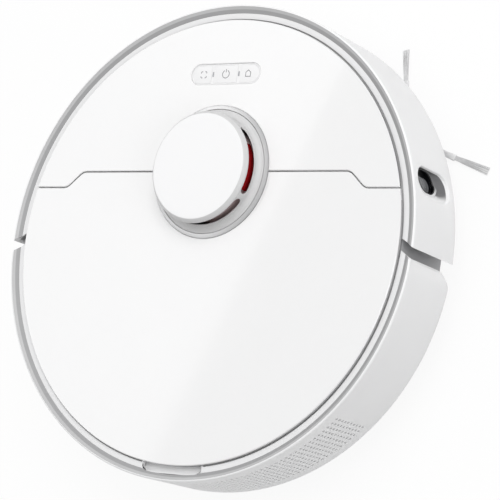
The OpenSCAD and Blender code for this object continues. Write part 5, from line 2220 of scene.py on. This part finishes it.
@dataclass
class Underside:
    """The base with its battery cover, screws, sensor windows and charging contacts."""

    grip_ribs: int = 9
    rib_pitch: float = 2.4
    rib_size: Pair = (30.0, 1.2)
    rib_start: float = 8.0
    screw_spread: float = 6.0

    def screws(self) -> Sheet:
        """Cross-head screws on the seats of the frame's own screws.

        Returns:
            The screws.
        """
        low, high = node_box("base_screws")
        z, top = low[2], high[2]
        head = [(0.0, z), (0.9, z), (2.5, z + 0.12), (2.9, z + 0.4), (3.0, z + 0.8), (3.0, z + 1.2), (1.3, z + 1.3),
                (1.3, top - 0.6), (0.8, top), (0.0, top)]
        cross = [Sheet().block((-1.7, -0.34, z - 0.05), (1.7, 0.34, z + 0.25)).placed(Matrix.Rotation(turn, 4, "Z"))
                 for turn in (0, pi / 2)]
        holder = bpy.data.objects.new("screw_pattern", plain_mesh(joined(Sheet().lathe(head, steps=24), *cross)))
        seats = [(sx * x, y, 0) for x, y in self.screw_seats() for sx in (-1, 1)]
        result = grown(Sheet().add(seats, []), "copies_on_points", SCREW_STEEL, Piece=holder, Seed=5)
        bpy.data.objects.remove(holder)
        return result

    def screw_seats(self) -> Loop:
        """The middles of the right-hand screws, found from the frame's own screws.

        Returns:
            Their places in plan.
        """
        points = np.array([v.co for v in frame["nodes"]["base_screws"].data.vertices]) / MM
        top = points[points[:, 2] > points[:, 2].max() - 0.01]
        seats: list[list[np.ndarray]] = []
        for point in top[top[:, 0] > 0]:
            near = [seat for seat in seats if np.linalg.norm(seat[0][:2] - point[:2]) < self.screw_spread]
            if near:
                near[0].append(point)
            else:
                seats.append([point])
        return [tuple(((np.min(s, axis=0) + np.max(s, axis=0)) / 2)[:2].tolist()) for s in seats]

    def build(self) -> None:
        """Makes and dresses the underside's pieces."""
        refine("chassis_base", "body", BASE_GREY, 0.45, "base_pan")
        refine("battery_cover", "body", BASE_GREY, 0.5)
        low = node_box("battery_cover")[0]
        rib = Sheet().plate(obround(*self.rib_size), low[2] - 0.35, low[2] + 0.3)
        ribs = grown(rib, "turned_row", BASE_GREY, Count=self.grip_ribs, Axis=(0, 0, 1),
                     Advance=(0, self.rib_pitch * MM, 0), Centre=(0, (low[1] + self.rib_start) * MM, 0))
        make("cover_grip", "body", BASE_GREY, ribs)
        make("underside_screws", "body", SCREW_STEEL, self.screws(), "base_screws", weld=0.0)
        refine("cliff_windows", "body", BLACK_GLOSS, 0.3)
        refine("charge_contacts", "body", CONTACT_METAL, 0.35)


@dataclass
class DustBin:
    """The dust bin with its cover, handle and pleated filter."""

    case_edge: float = 0.6
    handle_edge: float = 0.7
    filter_edge: float = 0.2

    def build(self) -> None:
        """Makes and dresses the bin and its parts."""
        refine("dust_bin", "body", BIN_SMOKE, self.case_edge)
        refine("bin_cover", "body", WHITE_INNER, self.case_edge)
        refine("bin_handle", "body", GREY_PLASTIC, self.handle_edge)
        refine("bin_filter", "body", FILTER_PAPER, self.filter_edge)


@dataclass
class Inside:
    """The pieces inside the body: battery, board, fan, loudspeaker, springs and switches."""

    blades: int = 9
    blade_sweep: float = 38.0
    blade_start: float = 6.0
    coil_turns: float = 4.0
    coil_wire: float = 0.38

    def impeller(self) -> Sheet:
        """The fan's back plate, domed hub and swept blades.

        Returns:
            The fan.
        """
        low, high = node_box("impeller")
        x, y, _ = middle("impeller")
        r, z = (high[0] - low[0]) / 2, low[2]
        profile = [(0.0, z), (r - 0.3, z), (r, z + 0.4), (r, z + 1.2), (r - 0.3, z + 1.6), (8.5, z + 2.0),
                   (7.2, z + 6.0), (5.6, z + 13.0), (3.6, z + 15.4), (0.0, z + 16.0)]
        section = [(-0.5, 1.2), (0.5, 1.2), (0.4, 14.6), (-0.4, 14.6)]
        rows = []
        for share in np.linspace(0, 1, 9):
            reach, turn = self.blade_start + (r - 7.0) * share, radians(self.blade_sweep * share)
            tall = 1 - 0.32 * share
            rows.append([(reach * cos(turn) - w * sin(turn), reach * sin(turn) + w * cos(turn),
                          1.2 + (t - 1.2) * tall) for w, t in section])
        row = grown(Sheet().loft(rows), "turned_row", WHITE_INNER, Count=self.blades, Turn=tau / self.blades,
                    Axis=(0, 0, 1), Centre=(x * MM, y * MM, z * MM))
        return joined(Sheet().lathe(profile, (x, y), 72), row)

    def bumper_coils(self) -> Sheet:
        """The two coil springs behind the bumper.

        Returns:
            The springs.
        """
        low, high = node_box("bumper_springs")
        r = (high[2] - low[2]) / 2 - 0.4
        x, y, z = high[0] - r - 0.4, low[1] + 0.4, middle("bumper_springs")[2]
        return joined(*(
            grown(Sheet(), "coil_spring", STEEL, Turns=self.coil_turns, Radius=r * MM,
                  Length=(high[1] - low[1] - 0.8) * MM, Wire=self.coil_wire * MM, Tilt=(-pi / 2, 0, 0),
                  Start=(side * x * MM, y * MM, z * MM))
            for side in (-1, 1)
        ))

    def build(self) -> None:
        """Makes and dresses the inner pieces."""
        make("fan_wheel", "fan", WHITE_INNER, self.impeller(), "impeller")
        coils = make("bumper_coils", "body", STEEL, self.bumper_coils(), "bumper_springs")
        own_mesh(coils)
        refine("battery_pack", "body", CELL_WRAP, 0.5)
        refine("main_board", "body", CIRCUIT, 0.15)
        refine("speaker", "body", DARK_PLASTIC, 0.5)
        refine("blower_housing", "body", DARK_PLASTIC, 0.6)
        refine("bumper_switches", "body", DARK_PLASTIC, 0.4)


# ---- Light, floor and camera ----


@dataclass
class Studio:
    """A pale floor, soft lights, the bright cards that the gloss reflects, and the camera."""

    eye: Triple = (957.23, -281.59, 1389.76)
    right: Triple = (0.82576, 0.13449, -0.54775)
    forward: Triple = (-0.56379, 0.169, -0.80844)
    lens: float = 165.6
    world: float = 0.544
    floor_white: float = 0.9
    floor_half: float = 6.0
    aim: Triple = (0.0, 0.0, 0.05)
    key_place: Triple = (0.75, 0.95, 2.0)
    key_power: float = 27.6
    key_size: Pair = (1.5, 1.5)
    box_place: Triple = (-1.37, 0.515, 1.55)
    box_power: float = 4.8
    box_size: Pair = (0.9, 2.4)
    box_spin: float = -21.5
    fill_place: Triple = (2.2, -0.4, 0.9)
    fill_power: float = 7.2
    fill_size: Pair = (1.2, 1.2)
    card_edge: tuple[Pair, ...] = ((0.089, 0.511), (-0.288, -0.389))
    card_z: float = 0.3
    card_span: Pair = (-0.11, 0.19)
    card_glows: tuple[Triple, ...] = ((-0.9, 0.8, 0.46), (0.9, 0.52, 0.0))

    def camera(self) -> None:
        """Makes the camera."""
        data = bpy.data.cameras.new("view")
        data.lens, data.sensor_width, data.clip_end = self.lens, 36.0, 50.0
        camera = linked("view", data)
        right, forward = Vector(self.right).normalized(), Vector(self.forward).normalized()
        turn = Matrix((right, right.cross(forward), -forward)).transposed().to_4x4()
        camera.matrix_world = Matrix.Translation(Vector(self.eye) * MM) @ turn
        bpy.context.scene.camera = camera

    def lamp(
        self, name: str, place: Point, target: Point, size: Pair, power: float, spin: float = 0.0
    ) -> None:
        """Makes a rectangular soft light.

        Args:
            name: Its name.
            place: Its middle, in metres.
            target: The point that it faces, in metres.
            size: Its width and height in metres.
            power: Its power in watts.
            spin: Its turn about the upright axis.
        """
        data = bpy.data.lights.new(name, "AREA")
        data.shape = "RECTANGLE"
        data.size, data.size_y = size
        data.energy = power
        lamp = linked(name, data)
        lamp.location = place
        aim = (Vector(place) - Vector(target)).to_track_quat("Z", "Y").to_matrix()
        lamp.rotation_euler = (Matrix.Rotation(radians(spin), 3, "Z") @ aim).to_euler()

    def glow(self, w: Nodes, kind: str, strength: object) -> NodeSocket:
        """Adds a white light source to a tree and gives its shader."""
        return w.add(f"ShaderNode{kind}", {"Color": (1, 1, 1, 1), "Strength": strength}).outputs[0]

    def surround(self) -> None:
        """Makes the world: white to look at and in reflections, softer as a light."""
        bpy.context.scene.world = world = bpy.data.worlds.new("studio")
        w = Nodes.emptied(world)
        mixed = w.add("ShaderNodeMixShader", {
            0: w.looked_at(), 1: self.glow(w, "Background", self.world), 2: self.glow(w, "Background", 1.0),
        })
        w.add("ShaderNodeOutputWorld", {"Surface": mixed.outputs[0]})

    def screen(
        self, name: str, skin: str, corners: Sequence[Point], light: Callable[[Nodes], Node]
    ) -> Object:
        """Makes a staged flat screen.

        Args:
            name: Its name.
            skin: Its material's name.
            corners: Its four corners, in metres.
            light: Writes its shader into a tree and gives the last node.

        Returns:
            The screen.
        """
        made = bpy.data.materials.new(skin)
        w = Nodes.emptied(made)
        w.add("ShaderNodeOutputMaterial", {"Surface": light(w).outputs[0]})
        mesh = bpy.data.meshes.new(name)
        mesh.from_pydata(corners, [], [(0, 1, 2, 3)])
        mesh.materials.append(made)
        obj = linked(name, mesh)
        return obj

    def pale(self, w: Nodes) -> Node:
        """Writes the floor's shader: dull, and nearly white to look at, with the object's shadow kept.

        Args:
            w: The tree's writer.

        Returns:
            The last node.
        """
        share = w.math("MULTIPLY", w.looked_at(), self.floor_white)
        dull = w.add("ShaderNodeBsdfDiffuse", {"Color": (0.75, 0.75, 0.75, 1)}).outputs[0]
        return w.add("ShaderNodeMixShader", {0: share, 1: dull, 2: self.glow(w, "Emission", 1.02)})

    def card(self, reach: float, back: float, front: float) -> None:
        """Makes one bright card over the machine, which only glossy reflections see.

        Args:
            reach: How far the card runs from the shared edge, towards +X or -X.
            back: The glow at the back end.
            front: The glow at the front end.
        """
        ends = [(x, y, self.card_z) for x, y in self.card_edge]
        far = [(x + reach, y, z) for x, y, z in reversed(ends)]

        def light(w: Nodes) -> Node:
            """Writes the card's glow, which lets what lies behind it through.

            Args:
                w: The tree's writer.

            Returns:
                The last node.
            """
            place = w.add("ShaderNodeTexCoord").outputs["Object"]
            y = w.add("ShaderNodeSeparateXYZ", {0: place}).outputs["Y"]
            glow = self.glow(w, "Emission", w.remap(y, *self.card_span, back, front))
            clear = w.add("ShaderNodeBsdfTransparent", {"Color": (1, 1, 1, 1)})
            return w.add("ShaderNodeAddShader", {0: glow, 1: clear.outputs[0]})

        card = self.screen("card", "card_white", ends + far, light)
        card.visible_camera = card.visible_diffuse = card.visible_shadow = False
        card.visible_transmission = card.visible_volume_scatter = False

    def build(self) -> None:
        """Makes the camera, floor, world and lights."""
        self.camera()
        self.surround()
        half = self.floor_half
        self.screen("floor", "floor_pale", [(-half, -half, 0), (half, -half, 0), (half, half, 0), (-half, half, 0)],
                    self.pale)
        for reach, back, front in self.card_glows:
            self.card(reach, back, front)
        self.lamp("key", self.key_place, self.aim, self.key_size, self.key_power)
        below = (*self.box_place[:2], 0)
        self.lamp("overhead", self.box_place, below, self.box_size, self.box_power, self.box_spin)
        self.lamp("fill", self.fill_place, self.aim, self.fill_size, self.fill_power)
        bpy.context.scene.view_settings.view_transform = "Standard"


def main() -> None:
    """Builds the sub-assemblies in order."""
    logging.basicConfig(level=logging.INFO, format="%(name)s: %(message)s")
    for build in (build_grain, build_mottle, build_handling, build_turned_lines):
        LOG.info("shader group %s", build().name)
    for build in (build_perforated_wall, build_turned_row, build_coil, build_copies):
        LOG.info("geometry tree %s", build().name)
    Studio().build()
    datum = Datum.read()
    for assembly in (
        OuterWalls(datum), TopPlates(datum), ButtonPanel(datum), Turret(datum), SideBrush(), MainBrush(),
        DriveUnits(), Caster(), Underside(), DustBin(), Inside(),
    ):
        LOG.info("building %s", type(assembly).__name__)
        assembly.build()


if __name__ == "__main__":
    main()
